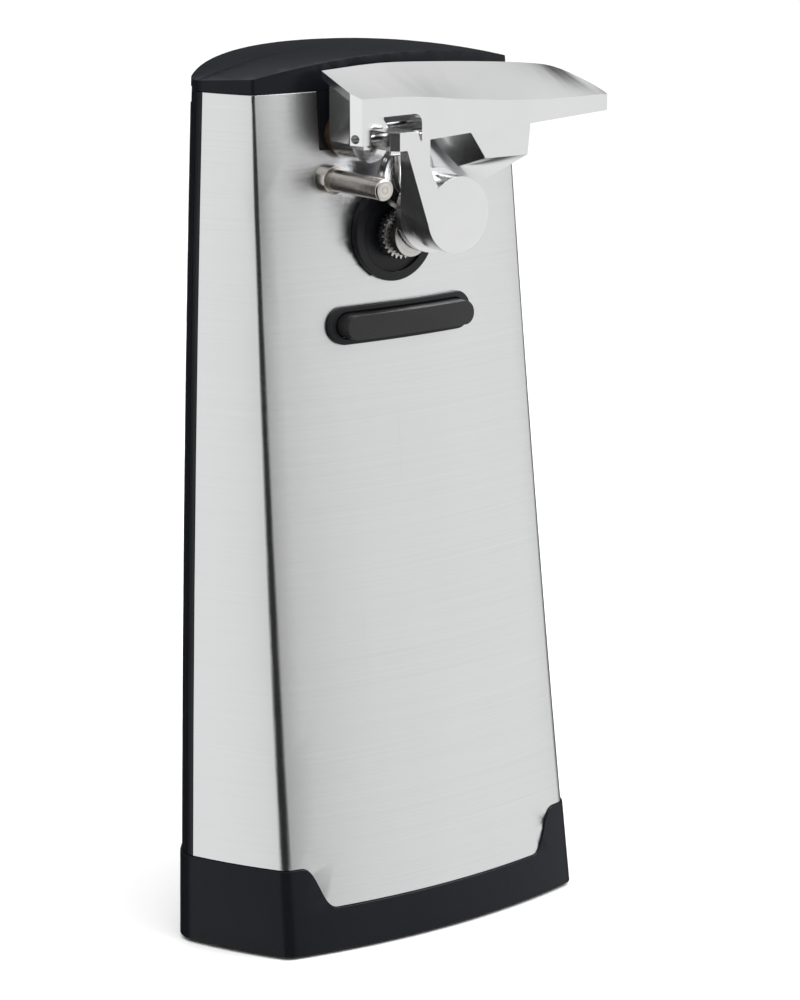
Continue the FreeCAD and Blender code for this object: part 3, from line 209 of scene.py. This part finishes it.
# %% Chrome
chrome = finish(
    "chrome", ((0.8, 0.805, 0.81), (0.88, 0.88, 0.885)), (0.15, 0.22), 1.0,
    lambda wire: grain(wire, (90, 90, 90), detail=5.0),
    lambda wire: (grain(wire, (70, 70, 110), detail=2.0), 0.03, 0.0005))

# %% [markdown]
# ## Satin black plastic
# The cap, rear cover and base are moulded in a blue-black plastic with a fine even texture that
# breaks up reflections. A fine noise gives the texture's relief, and a broad one lets the sheen
# wander a little as real mouldings do.

# %% Moulded plastics
def moulded(name, colours, roughness, texture=2600, strength=0.12, **constants):
    return finish(
        name, colours, roughness, 0.0,
        lambda wire: grain(wire, (35, 35, 35), detail=4.0) * 0.7 + grain(wire, (900,) * 3) * 0.3,
        lambda wire: (grain(wire, (texture,) * 3, detail=2.0), strength, 0.00015), **constants)


black_plastic = moulded("black_plastic", ((0.0035, 0.004, 0.0055), (0.008, 0.009, 0.012)),
                        (0.2, 0.3), Specular_IOR_Level=0.15)
housing_plastic = moulded("housing_plastic", ((0.004, 0.0045, 0.0055), (0.009, 0.0095, 0.0115)),
                          (0.3, 0.42), Specular_IOR_Level=0.3)
bumper_plastic = moulded("bumper_plastic", ((0.006, 0.006, 0.0065), (0.013, 0.013, 0.0145)),
                          (0.42, 0.55), texture=1800, strength=0.3, Specular_IOR_Level=0.35)
inner_plastic = moulded("inner_plastic", ((0.02, 0.02, 0.021), (0.035, 0.035, 0.037)), (0.45, 0.6))
gear_plastic = moulded("gear_plastic", ((0.72, 0.69, 0.6), (0.82, 0.8, 0.72)), (0.35, 0.5),
                       Subsurface_Weight=0.08)
switch_plastic = moulded("switch_plastic", ((0.5, 0.05, 0.04), (0.62, 0.08, 0.06)), (0.3, 0.42))
rubber = moulded("rubber", ((0.016, 0.016, 0.016), (0.03, 0.03, 0.03)), (0.7, 0.85),
                 texture=1400, strength=0.35)

# %% [markdown]
# ## Turned and ground steel
# The drive wheel, the pins and the cutting wheel are turned on a lathe or ground, which leaves
# fine rings around their axis. The rings are the sine of the distance from that axis. Warm and
# cool greys tell the harder tool steel from the plated pins.

# %% Turned metals
def turned_metal(name, colours, roughness, centre, per_metre=2200, strength=0.25):
    return finish(
        name, colours, roughness, 1.0,
        lambda wire: rings(wire, centre, per_metre * 0.37) * 0.4 + grain(wire, (420,) * 3) * 0.6,
        lambda wire: (rings(wire, centre, per_metre), strength, 0.00006))


drive_steel = turned_metal("drive_steel", ((0.5, 0.49, 0.47), (0.74, 0.73, 0.71)), (0.18, 0.34),
                           middle("drive_wheel"))
cutter_steel = turned_metal("cutter_steel", ((0.42, 0.42, 0.43), (0.68, 0.68, 0.69)), (0.14, 0.26),
                            middle("cutting_wheel"))
pin_steel = turned_metal("pin_steel", ((0.55, 0.52, 0.48), (0.78, 0.75, 0.7)), (0.16, 0.3),
                         middle("can_guide_pin"))
shaft_steel = turned_metal("shaft_steel", ((0.4, 0.4, 0.41), (0.62, 0.62, 0.63)), (0.2, 0.32),
                           middle("rotor_shaft"))
pinion_brass = turned_metal("pinion_brass", ((0.62, 0.44, 0.16), (0.78, 0.58, 0.26)), (0.2, 0.34),
                            middle("rotor_pinion"))
bearing_bronze = turned_metal("bearing_bronze", ((0.1, 0.065, 0.04), (0.17, 0.115, 0.075)),
                              (0.5, 0.65), middle("front_bearing"))

# %% [markdown]
# ## Sheet, laminations, wire, stone and magnet
# The parts inside are plainer, but each still shows how it was made: zinc-plated plates have
# rolling marks, the motor's core is a pack of thin iron sheets, its coil is wound wire, the
# grinding stone is bonded grit and the magnet is pressed ferrite.

# %% Inner finishes
def stripes(wire, axis, per_metre):
    """Waves from 0 to 1 along one axis."""
    place = wire.node("ShaderNodeTexCoord", output="Object")
    along = wire.node("ShaderNodeSeparateXYZ", {}, {"Vector": place}, output=axis)
    return wire.maths("SINE", along * (2 * math.pi * per_metre)) * 0.5 + 0.5


screw_steel = finish("screw_steel", ((0.45, 0.45, 0.46), (0.66, 0.66, 0.67)), (0.22, 0.36), 1.0,
                     lambda wire: grain(wire, (700,) * 3, detail=4.0),
                     lambda wire: (grain(wire, (2400,) * 3), 0.2, 0.0001))
plate_steel = finish("plate_steel", ((0.48, 0.49, 0.5), (0.66, 0.67, 0.68)), (0.3, 0.46), 1.0,
                     lambda wire: grain(wire, (150, 150, 28), detail=5.0, distortion=0.4),
                     lambda wire: (grain(wire, (3000, 3000, 90)), 0.2, 0.0001))
core_iron = finish("core_iron", ((0.16, 0.16, 0.17), (0.34, 0.34, 0.35)), (0.4, 0.6), 1.0,
                   lambda wire: stripes(wire, "Y", 1000) * 0.6 + grain(wire, (300,) * 3) * 0.4,
                   lambda wire: (stripes(wire, "Y", 1000), 0.5, 0.0002))
copper = finish("copper", ((0.42, 0.13, 0.06), (0.72, 0.3, 0.15)), (0.22, 0.4), 1.0,
                lambda wire: stripes(wire, "X", 1900) * 0.6 + grain(wire, (400,) * 3) * 0.4,
                lambda wire: (stripes(wire, "X", 1900), 0.8, 0.0003), Coat_Weight=0.4)
stone = finish("stone", ((0.16, 0.16, 0.17), (0.5, 0.49, 0.47)), (0.85, 0.95), 0.0,
               lambda wire: grain(wire, (2600,) * 3, detail=5.0),
               lambda wire: (grain(wire, (2200,) * 3, detail=4.0), 0.8, 0.0005))
magnet_ferrite = finish("magnet_ferrite", ((0.035, 0.035, 0.037), (0.075, 0.075, 0.08)),
                        (0.5, 0.7), 0.3, lambda wire: grain(wire, (900,) * 3, detail=5.0),
                        lambda wire: (grain(wire, (1500,) * 3), 0.4, 0.0002))

FINISHES = {
    "black_plastic": black_plastic, "housing_plastic": housing_plastic,
    "inner_plastic": inner_plastic, "rubber": rubber, "bumper_plastic": bumper_plastic,
    "brushed_wrap": brushed_steel, "polished_chrome": chrome, "cutter_steel": cutter_steel,
    "drive_steel": drive_steel, "pin_steel": pin_steel, "screw_steel": screw_steel,
    "plate_steel": plate_steel, "gear_plastic": gear_plastic, "pinion_brass": pinion_brass,
    "bearing_bronze": bearing_bronze, "core_iron": core_iron, "shaft_steel": shaft_steel,
    "copper": copper, "stone": stone, "magnet_ferrite": magnet_ferrite,
    "switch_plastic": switch_plastic}

# %% [markdown]
# ## Dress the hidden parts
# Gears, motor and switch keep their own shapes, which are right already, so only their finish
# changes. The record says which slot each part takes, and the slot names the finish.

# %% Slots and bodies
SLOT_OF = {row["node"]: row["material_slot"] for row in frame["record"]["subparts"]}
BODY_OF = {node: body for body, names in frame["record"]["behaviour"]["bodies"].items()
           for node in names}
for name, part in frame["nodes"].items():
    part.data.materials.clear()
    part.data.materials.append(FINISHES[SLOT_OF[name]])
print("dressed", len(frame["nodes"]), "parts")

# %% [markdown]
# ## Turning a part into a finished piece
# A solid arrives as loose triangles with hard edges. A real moulding or casting has a small
# round on every edge, which is what catches the light. So a visible part is copied, its
# triangles are welded and its flat faces joined, and then its sharp edges are rounded.


# %% Helpers for pieces
def piece_from(name, mesh):
    piece = bpy.data.objects.new(name, mesh)
    bpy.context.scene.collection.objects.link(piece)
    return piece


def plain(piece):
    """Bakes the modifiers into the mesh and takes them off."""
    graph = bpy.context.evaluated_depsgraph_get()
    piece.data = bpy.data.meshes.new_from_object(piece.evaluated_get(graph), depsgraph=graph)
    piece.modifiers.clear()
    return piece


def shaded(piece, degrees=35):
    """Smooth shading that stays crisp across edges sharper than this."""
    piece.data.shade_smooth()
    piece.data.set_sharp_from_angle(angle=math.radians(degrees))
    return piece


def settle(piece, *nodes, finish_name=None):
    """Gives a piece its finish and its body, and lets it stand for its frame parts."""
    slot = finish_name or SLOT_OF[nodes[0]]
    if not piece.data.materials:
        piece.data.materials.append(FINISHES[slot])
    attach(piece, BODY_OF[nodes[0]])
    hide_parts(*nodes)
    print(piece.name, len(piece.data.polygons), "faces, stands for", ", ".join(nodes))
    return piece


def welded(node):
    """A copy of a frame part with its triangles welded and its flat faces joined."""
    mesh = frame["nodes"][node].data.copy()
    mesh.materials.clear()
    form = bmesh.new()
    form.from_mesh(mesh)
    bmesh.ops.remove_doubles(form, verts=form.verts, dist=2e-6)
    bmesh.ops.dissolve_limit(form, angle_limit=math.radians(0.3), verts=form.verts,
                             edges=form.edges)
    form.to_mesh(mesh)
    form.free()
    return mesh


def rounded(piece, width, segments=3, sharp=40):
    """The piece with a small round on every edge sharper than this."""
    shaded(piece, sharp)
    rounding = piece.modifiers.new("rounding", "BEVEL")
    rounding.width = width
    rounding.segments = segments
    rounding.limit_method = "ANGLE"
    rounding.angle_limit = math.radians(sharp)
    rounding.harden_normals = True
    return plain(piece)


def softened(node, name, width, segments=3, sharp=40):
    """A rounded copy of one frame part."""
    return settle(rounded(piece_from(name, welded(node)), width, segments, sharp), node)


# %% [markdown]
# ## The shells of the tower
# The steel jacket, the black seam strips behind it, the rear cover, the cap and the base collar
# all follow one flared outline. Their parts already have it, so they are welded and their edges
# rounded: sheet steel by a hair, moulded plastic by about a third of a millimetre.

# %% Shells
softened("steel_wrap", "jacket", 0.12 * MM, 2)
softened("front_housing", "housing", 0.15 * MM, 2)
softened("rear_cover", "back_cover", 0.35 * MM)
softened("top_cap", "cap", 0.5 * MM)
softened("base_collar", "base", 0.35 * MM)
softened("base_plate", "floor_panel", 0.25 * MM, 2)

# %% [markdown]
# ## Face fittings
# The stepped ring round the drive wheel, the can rest with its bezel and the guide pin are small
# parts that the light picks out, so their rounds are a little larger than on the shells.

# %% Face fittings
softened("drive_collar", "drive_ring", 0.25 * MM)
softened("can_rest_bezel", "rest_bezel", 0.7 * MM, 4)
softened("can_rest", "rest_bar", 0.9 * MM, 4)
softened("can_guide_pin", "guide_pin", 0.12 * MM, 2)
settle(rounded(piece_from("pivot_bushing", welded("lever_bushing")), 0.12 * MM, 2),
       "lever_bushing")
softened("lever_post", "pivot_post", 0.2 * MM, 2)

# %% [markdown]
# ## Lever group
# The lever, the rim guide and the magnet holder are castings, so their edges are full and soft.
# The cutter, its stud and the yoke are turned or pressed, and keep crisper edges.

# %% Lever group
softened("lever_handle", "lever", 0.45 * MM)
softened("can_guide", "rim_guide", 0.4 * MM)
softened("cutter_holder", "cutter_plate", 0.3 * MM)
softened("cutter_axle", "cutter_stud", 0.12 * MM, 2)
softened("cutting_wheel", "cutter", 0.05 * MM, 2)
softened("magnet_arm", "magnet_holder", 0.6 * MM, 4)
softened("magnet_yoke", "yoke_cup", 0.15 * MM, 2)
softened("magnet", "magnet_disc", 0.3 * MM, 2)
softened("arm_hinge_pin", "hinge_pin", 0.15 * MM, 2)

# %% [markdown]
# ## Trees that grow what repeats
# Screws, feet and teeth repeat by a rule, so each kind is grown by its own tree of geometry
# nodes. A tree's named inputs are its sizes and places, which are read off the frame's parts.
# The modifier gets each one by its socket's identifier, and the result is kept as a plain mesh.


# %% Helpers for grown pieces
def growing_tree(name, sizes):
    """A geometry tree with these named inputs and a material; gives it and its wires."""
    tree = bpy.data.node_groups.new(name, "GeometryNodeTree")
    tree.interface.new_socket("Geometry", in_out="OUTPUT", socket_type="NodeSocketGeometry")
    kinds = {**sizes, "Material": "Material"}
    for label, kind in kinds.items():
        tree.interface.new_socket(label, in_out="INPUT", socket_type="NodeSocket" + kind)
    start = tree.nodes.new("NodeGroupInput")
    return tree, {label: Wire(tree, start.outputs[label]) for label in kinds}


def close_tree(tree, wires, geometry):
    """Makes instances real, sets the material and hands the geometry out."""
    real = geometry.node("GeometryNodeRealizeInstances", {}, {"Geometry": geometry})
    dressed = geometry.node("GeometryNodeSetMaterial", {}, {
        "Geometry": real, "Material": wires["Material"]})
    end = tree.nodes.new("NodeGroupOutput")
    tree.links.new(dressed.socket, end.inputs["Geometry"])
    print("tree", tree.name, len(tree.nodes), "nodes")
    return tree


def grown(name, tree, finish_name, values):
    """A plain mesh piece grown by a tree with these values."""
    piece = piece_from(name, bpy.data.meshes.new(name))
    growth = piece.modifiers.new("growth", "NODES")
    growth.node_group = tree
    given = {**values, "Material": FINISHES[finish_name]}
    for row in tree.interface.items_tree:
        if row.in_out == "INPUT":
            growth[row.identifier] = given[row.name]
    return plain(piece)


def islands(node):
    """The low and high corners of each loose part of a frame part, lowest first."""
    form = bmesh.new()
    form.from_mesh(welded(node))
    waiting = set(form.verts)
    found = []
    while waiting:
        front = [waiting.pop()]
        reached = list(front)
        while front:
            fresh = [edge.other_vert(vert) for vert in front for edge in vert.link_edges]
            front = list({vert for vert in fresh if vert in waiting})
            waiting.difference_update(front)
            reached += front
        places = np.array([vert.co for vert in reached])
        found.append((Vector(places.min(axis=0)), Vector(places.max(axis=0))))
    form.free()
    return sorted(found, key=lambda ends: (round(ends[0].z, 4), round(ends[0].y, 4), ends[0].x))


def joined(wire, *pieces):
    return wire.node("GeometryNodeJoinGeometry", {}, {"Geometry": list(pieces)})


def moved(geometry, place=(0, 0, 0), turn=(0, 0, 0)):
    return geometry.node("GeometryNodeTransform", {}, {
        "Geometry": geometry, "Translation": place, "Rotation": turn})


def vector(wire, x=0.0, y=0.0, z=0.0):
    return wire.node("ShaderNodeCombineXYZ", {}, {"X": x, "Y": y, "Z": z})


def place_parts(wire):
    """X, Y and Z of each vertex, and its distance from the Z axis."""
    place = wire.node("GeometryNodeInputPosition")
    x, y, z = (wire.node("ShaderNodeSeparateXYZ", {}, {"Vector": place}, output=axis)
               for axis in ("X", "Y", "Z"))
    return x, y, z, wire.maths("SQRT", x * x + y * y)


def cylinder(wire, radius, depth, vertices=48, side_segments=1, fill_segments=1):
    """A closed upright cylinder that stands on the plane z = 0."""
    made = wire.node("GeometryNodeMeshCylinder", {}, {
        "Vertices": vertices, "Side Segments": side_segments, "Fill Segments": fill_segments,
        "Radius": radius, "Depth": depth})
    return moved(made, vector(wire, z=depth * 0.5))


ROW_SIZES = {"Start": "Vector", "Across": "Vector", "Rise": "Vector", "Columns": "Int",
             "Rows": "Int", "Narrowing": "Float", "Turn": "Vector"}


def in_rows(wires, item):
    """Copies of an item at the seats of a grid whose second row may be narrower."""
    wire = wires["Start"]
    index = wire.node("GeometryNodeInputIndex")
    row = wire.maths("FLOOR", index / wires["Columns"])
    reach = (index - row * wires["Columns"]) * (1.0 + row * (wires["Narrowing"] - 1.0))
    across = wire.node("ShaderNodeVectorMath", {"operation": "SCALE"}, {
        0: wires["Across"], "Scale": reach})
    risen = wire.node("ShaderNodeVectorMath", {"operation": "SCALE"}, {
        0: wires["Rise"], "Scale": row})
    shift = wire.node("ShaderNodeVectorMath", {"operation": "ADD"}, {0: across, 1: risen})
    place = wire.node("ShaderNodeVectorMath", {"operation": "ADD"}, {0: wires["Start"], 1: shift})
    seats = wire.node("GeometryNodePoints", {}, {
        "Count": wires["Columns"] * wires["Rows"], "Position": place})
    return wire.node("GeometryNodeInstanceOnPoints", {}, {
        "Points": seats, "Instance": item, "Rotation": wires["Turn"]})


def row_values(seats, turn):
    """Values for the grid's inputs from one, two or four seats, lowest and leftmost first."""
    start = seats[0]
    across = seats[1] - start if len(seats) > 1 else Vector((0, 0, 0))
    rise = seats[2] - start if len(seats) > 2 else Vector((0, 0, 0))
    narrowing = (seats[3] - seats[2]).length / across.length if len(seats) > 2 else 1.0
    return {"Start": start, "Across": across, "Rise": rise, "Columns": min(len(seats), 2),
            "Rows": max(len(seats) // 2, 1), "Narrowing": narrowing, "Turn": turn}


# %% [markdown]
# ## Screws
# The back cover and the floor panel are held by pan-head screws with a cross recess, and the
# cutter plate by a smaller one. The shank carries a real thread: its radius follows a sine that
# climbs one pitch each turn. The head's top sinks toward its rim with the fourth power of the
# radius, which is close to how a pan head is forged, and two thin blocks are cut from it.

# %% Screws
def screw_tree():
    tree, wires = growing_tree("pan_head_screws", {
        **ROW_SIZES, "Head Radius": "Float", "Head Height": "Float", "Shank Radius": "Float",
        "Shank Length": "Float", "Pitch": "Float", "Recess Width": "Float"})
    wire = wires["Start"]
    radius, height = wires["Head Radius"], wires["Head Height"]
    head = cylinder(wire, radius, height, 48, 3, 6)
    x, y, z, distance = place_parts(wire)
    share = distance / radius
    sink = z * (share * share * share * share) * -0.4
    head = wire.node("GeometryNodeSetPosition", {}, {
        "Geometry": head, "Offset": vector(wire, z=sink)})
    long_side, deep = radius * 1.06, height * 0.8
    for sides in ((long_side, wires["Recess Width"]), (wires["Recess Width"], long_side)):
        block = moved(wire.node("GeometryNodeMeshCube", {}, {
            "Size": vector(wire, sides[0], sides[1], deep)}), vector(wire, z=height))
        head = wire.node("GeometryNodeMeshBoolean", {"operation": "DIFFERENCE"}, {
            "Mesh 1": head, "Mesh 2": block})
    length = wires["Shank Length"]
    steps = wire.maths("ROUND", length / wires["Pitch"]) * 8.0
    shank = cylinder(wire, wires["Shank Radius"], length, 24, steps)
    turn = wire.maths("ARCTAN2", y, x)
    wave = wire.maths("SINE", z / wires["Pitch"] * (2 * math.pi) - turn)
    depth = (wave - 1.0) * 0.07
    shank = wire.node("GeometryNodeSetPosition", {}, {
        "Geometry": shank, "Offset": vector(wire, x * depth, y * depth)})
    shank = moved(shank, vector(wire, z=0.01 * MM - length))
    return close_tree(tree, wires, in_rows(wires, joined(wire, head, shank)))


SCREWS = screw_tree()


THREAD_PITCH = 0.9 * MM
RECESS_WIDTH = 0.7 * MM


def screws(name, node, seat_of, turn, head_height, shank_radius, shank_length):
    """The screws of one frame part; seat_of gives a seat from a screw's two corners."""
    found = islands(node)
    piece = grown(name, SCREWS, SLOT_OF[node], {
        **row_values([seat_of(low, high) for low, high in found], turn),
        "Head Radius": (found[0][1].x - found[0][0].x) / 2, "Head Height": head_height * MM,
        "Shank Radius": shank_radius * MM, "Shank Length": shank_length * MM,
        "Pitch": THREAD_PITCH, "Recess Width": RECESS_WIDTH})
    return settle(shaded(piece), node)


def centre_with(low, high, **known):
    place = (low + high) / 2
    for axis, value in known.items():
        setattr(place, axis, value)
    return place


COVER_HEAD, COVER_SHANK, COVER_LENGTH = 2.0, 1.35, 11.0
PANEL_HEAD, PANEL_SHANK, PANEL_LENGTH = 1.0, 1.35, 9.0
PLATE_HEAD, PLATE_SHANK, PLATE_LENGTH = 1.2, 0.98, 5.4
screws("back_screws", "cover_screws",
       lambda low, high: centre_with(low, high, y=high.y - COVER_HEAD * MM),
       (-math.pi / 2, 0, 0), COVER_HEAD, COVER_SHANK, COVER_LENGTH)
screws("floor_screws", "base_screws",
       lambda low, high: centre_with(low, high, z=low.z + PANEL_HEAD * MM),
       (math.pi, 0, 0), PANEL_HEAD, PANEL_SHANK, PANEL_LENGTH)
screws("plate_screw", "holder_screw",
       lambda low, high: centre_with(low, high, y=low.y + PLATE_HEAD * MM),
       (math.pi / 2, 0, 0), PLATE_HEAD, PLATE_SHANK, PLATE_LENGTH)

# %% [markdown]
# ## Rubber feet
# Four soft feet plug into the floor panel. Each has a pad with fine rings underneath, which let
# it grip a worktop, a stem and a barb that snaps in. The pad's underside is moulded in twelve
# rings, and every second one sits a little higher.


# %% Feet
PAD_HEIGHT = 1.0 * MM
STEM_RADIUS = 2.0 * MM
STEM_START = 0.3 * MM


def foot_tree():
    tree, wires = growing_tree("rubber_feet", {
        **ROW_SIZES, "Pad Radius": "Float", "Pad Height": "Float", "Stem Radius": "Float",
        "Stem Length": "Float", "Barb": "Float", "Groove": "Float"})
    wire = wires["Start"]
    radius = wires["Pad Radius"]
    pad = cylinder(wire, radius, wires["Pad Height"], 64, 2, 12)
    x, y, z, distance = place_parts(wire)
    ring = wire.maths("ROUND", distance / radius * 12.0)
    odd = ring - wire.maths("FLOOR", ring * 0.5) * 2.0
    under = wire.maths("LESS_THAN", z, 0.00001)
    pad = wire.node("GeometryNodeSetPosition", {}, {
        "Geometry": pad, "Offset": vector(wire, z=odd * under * wires["Groove"])})
    stem = cylinder(wire, wires["Stem Radius"], wires["Stem Length"])
    barb = wire.node("GeometryNodeMeshCone", {}, {
        "Vertices": 48, "Radius Top": wires["Stem Radius"] - wires["Barb"] * 0.5,
        "Radius Bottom": wires["Stem Radius"] + wires["Barb"], "Depth": wires["Barb"] * 2.0})
    stem = moved(stem, vector(wire, z=STEM_START))
    barb = moved(barb, vector(wire, z=wires["Stem Length"] - wires["Barb"]))
    return close_tree(tree, wires, in_rows(wires, joined(wire, pad, stem, barb)))


def feet():
    names = ["foot_front_left", "foot_front_right", "foot_rear_left", "foot_rear_right"]
    boxes = [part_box(name) for name in names]
    piece = grown("feet", foot_tree(), SLOT_OF[names[0]], {
        **row_values([centre_with(low, high, z=0.0) for low, high in boxes], (0, 0, 0)),
        "Pad Radius": (boxes[0][1].x - boxes[0][0].x) / 2, "Pad Height": PAD_HEIGHT,
        "Stem Radius": STEM_RADIUS, "Stem Length": boxes[0][1].z - STEM_START, "Barb": 0.6 * MM,
        "Groove": 0.25 * MM})
    return settle(rounded(piece, 0.12 * MM, 2, 50), *names)


feet()

# %% [markdown]
# ## The toothed drive wheel
# The wheel that carries the can round is a hardened disc with fine square-cut teeth, which bite
# the underside of the can's rim. Its outline has four corners for each tooth, two at the tip and
# two at the root. The outline and the bore are filled, and the fill is pushed to its thickness.


# %% Drive wheel
def pushed(plate, depth):
    """A closed slab from a flat plate, from z = 0 up to depth."""
    lifted = plate.node("GeometryNodeExtrudeMesh", {}, {
        "Mesh": plate, "Offset": vector(plate, z=1.0), "Offset Scale": depth,
        "Individual": False})
    floor = plate.node("GeometryNodeFlipFaces", {}, {"Mesh": plate})
    return plate.node("GeometryNodeMergeByDistance", {}, {
        "Geometry": joined(plate, lifted, floor), "Distance": 0.000001})


def filled(wire, *outlines):
    return wire.node("GeometryNodeFillCurve", {}, {"Curve": joined(wire, *outlines)})


def circle(wire, radius, resolution=64):
    return wire.node("GeometryNodeCurvePrimitiveCircle", {}, {
        "Resolution": resolution, "Radius": radius})


def wheel_tree():
    tree, wires = growing_tree("toothed_wheel", {
        "Place": "Vector", "Teeth": "Int", "Tip Radius": "Float", "Tooth Depth": "Float",
        "Thickness": "Float", "Hub Radius": "Float", "Hub Length": "Float", "Bore": "Float"})
    wire = wires["Place"]
    index = wire.node("GeometryNodeInputIndex")
    tooth = wire.maths("FLOOR", index / 4.0)
    corner = index - tooth * 4.0
    odd = corner - wire.maths("FLOOR", corner / 2.0) * 2.0
    turn = (tooth + corner * 0.25 - odd * 0.03) / wires["Teeth"] * (2 * math.pi)
    root = wire.maths("GREATER_THAN", corner, 1.5)
    radius = wires["Tip Radius"] - root * wires["Tooth Depth"]
    outline = wire.node("GeometryNodeSetPosition", {}, {
        "Geometry": circle(wire, wires["Tip Radius"], wires["Teeth"] * 4.0),
        "Position": vector(wire, wire.maths("COSINE", turn) * radius,
                           wire.maths("SINE", turn) * radius)})
    disc = pushed(filled(wire, outline, circle(wire, wires["Bore"])), wires["Thickness"])
    hub = pushed(filled(wire, circle(wire, wires["Hub Radius"]), circle(wire, wires["Bore"])),
                 wires["Hub Length"])
    hub = moved(hub, vector(wire, z=wires["Thickness"] - 0.01 * MM))
    return close_tree(tree, wires, moved(joined(wire, disc, hub), wires["Place"],
                                         (math.pi / 2, 0, 0)))


def drive_wheel():
    low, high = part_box("drive_wheel")
    thickness, bore, hub_radius = 2.7 * MM, 2.0 * MM, 5.8 * MM
    piece = grown("toothed_wheel", wheel_tree(), SLOT_OF["drive_wheel"], {
        "Place": centre_with(low, high, y=high.y), "Teeth": 26, "Tip Radius": (high.z - low.z) / 2,
        "Tooth Depth": 0.9 * MM, "Thickness": thickness, "Hub Radius": hub_radius,
        "Hub Length": high.y - low.y - thickness + 0.01 * MM, "Bore": bore})
    return settle(rounded(piece, 0.12 * MM, 2, 35), "drive_wheel")


drive_wheel()

# %% [markdown]
# ## The studio
# The opener stands on a wide pale floor. The floor is hidden from glossy rays, because its
# reflection would grey the lower part of the steel.

# %% Floor
def pale_floor():
    mesh = bpy.data.meshes.new("studio_floor")
    half = 6.0
    mesh.from_pydata([(-half, -half, 0), (half, -half, 0), (half, half, 0), (-half, half, 0)],
                     [], [(0, 1, 2, 3)])
    floor = piece_from("studio_floor", mesh)
    mesh.materials.append(finish(
        "floor_paint", ((0.86, 0.86, 0.86), (0.9, 0.9, 0.9)), (0.24, 0.34), 0.0,
        lambda wire: grain(wire, (3, 3, 3)), lambda wire: (grain(wire, (400,) * 3), 0.02, 0.0002)))
    floor.visible_glossy = False


pale_floor()

# %% [markdown]
# ## The surround
# The room is drawn as brightness by direction, since brushed steel shows bands of its
# surroundings more than it shows lamps. The dark gap between two bright parts of the room makes
# the dark line down the jacket's bend. The camera itself sees plain white behind the opener.

# %% Surround
def surround():
    """Brightness of the room by direction: azimuth from the front, then height."""
    world = bpy.data.worlds.new("studio")
    bpy.context.scene.world = world
    world.use_nodes = True
    tree = world.node_tree
    wire = Wire(tree)
    place = wire.node("ShaderNodeTexCoord", output="Generated")
    across = wire.node("ShaderNodeSeparateXYZ", {}, {"Vector": place}, output="X")
    along = wire.node("ShaderNodeSeparateXYZ", {}, {"Vector": place}, output="Y")
    up = wire.node("ShaderNodeSeparateXYZ", {}, {"Vector": place}, output="Z")
    turn = wire.maths("ARCTAN2", across, 0.0 - along) / (2 * math.pi) + 0.5

    def grey(level):
        return (level, level, level)

    room = wire.node("ShaderNodeValToRGB", {"stops": [
        (0.0, grey(0.03)), (0.15, grey(0.06)), (0.185, grey(1.0)), (0.30, grey(0.86)),
        (0.33, grey(0.02)), (0.475, grey(0.01)), (0.505, grey(0.5)), (0.55, grey(0.82)),
        (0.70, grey(0.9)), (0.76, grey(0.1)), (1.0, grey(0.03))]}, {"Fac": turn})
    overhead = wire.node("ShaderNodeMapRange", {"interpolation_type": "SMOOTHSTEP"}, {
        "Value": up, "From Min": 0.3, "From Max": 0.72, "To Min": 0.0, "To Max": 1.0})
    light = wire.node("ShaderNodeMix", {"data_type": "RGBA"}, {
        "Factor": overhead, 6: room, 7: (*grey(0.82), 1.0)}, output=2)
    seen = wire.node("ShaderNodeLightPath", output="Is Camera Ray")
    shown = wire.node("ShaderNodeMix", {"data_type": "RGBA"}, {
        "Factor": seen, 6: light, 7: (1.0, 1.0, 1.0, 1.0)}, output=2)
    back = tree.nodes["Background"]
    tree.links.new(shown.socket, back.inputs["Color"])
    back.inputs["Strength"].default_value = 1.0


surround()
bpy.context.scene.view_settings.view_transform = "Standard"

# %% [markdown]
# ## Lamps
# One soft lamp from the right front shapes the black mouldings, and a very wide one overhead
# keeps the floor even. The wide lamp is hidden from glossy rays, so that the lever's top shows
# the room and not a white panel.

# %% Lamps
def soft_lamp(name, place, target, size, power):
    data = bpy.data.lights.new(name, "AREA")
    data.shape = "RECTANGLE"
    data.size, data.size_y = size
    data.energy = power
    lamp = bpy.data.objects.new(name, data)
    lamp.location = place
    lamp.rotation_euler = (Vector(target) - Vector(place)).to_track_quat("-Z", "Y").to_euler()
    bpy.context.scene.collection.objects.link(lamp)
    return lamp


soft_lamp("key", (0.9, -1.1, 1.3), (0, 0, 0.12), (1.2, 1.2), 29)
soft_lamp("top", (-0.3, 0.8, 4.0), (-0.3, 0.8, 0.0), (9.0, 9.0), 430).visible_glossy = False

# %% [markdown]
# ## Camera
# A long lens from the left front, a little above the opener, keeps the tower's sides nearly
# straight.

# %% Camera
def studio_camera():
    data = bpy.data.cameras.new("camera")
    data.lens = 133.2
    data.sensor_width = 36.0
    camera = bpy.data.objects.new("camera", data)
    camera.location = (-0.6157, -0.80225, 0.3655)
    target = Vector((-0.01298, -0.03075, 0.125))
    camera.rotation_euler = (target - camera.location).to_track_quat("-Z", "Y").to_euler()
    bpy.context.scene.collection.objects.link(camera)
    bpy.context.scene.camera = camera


studio_camera()
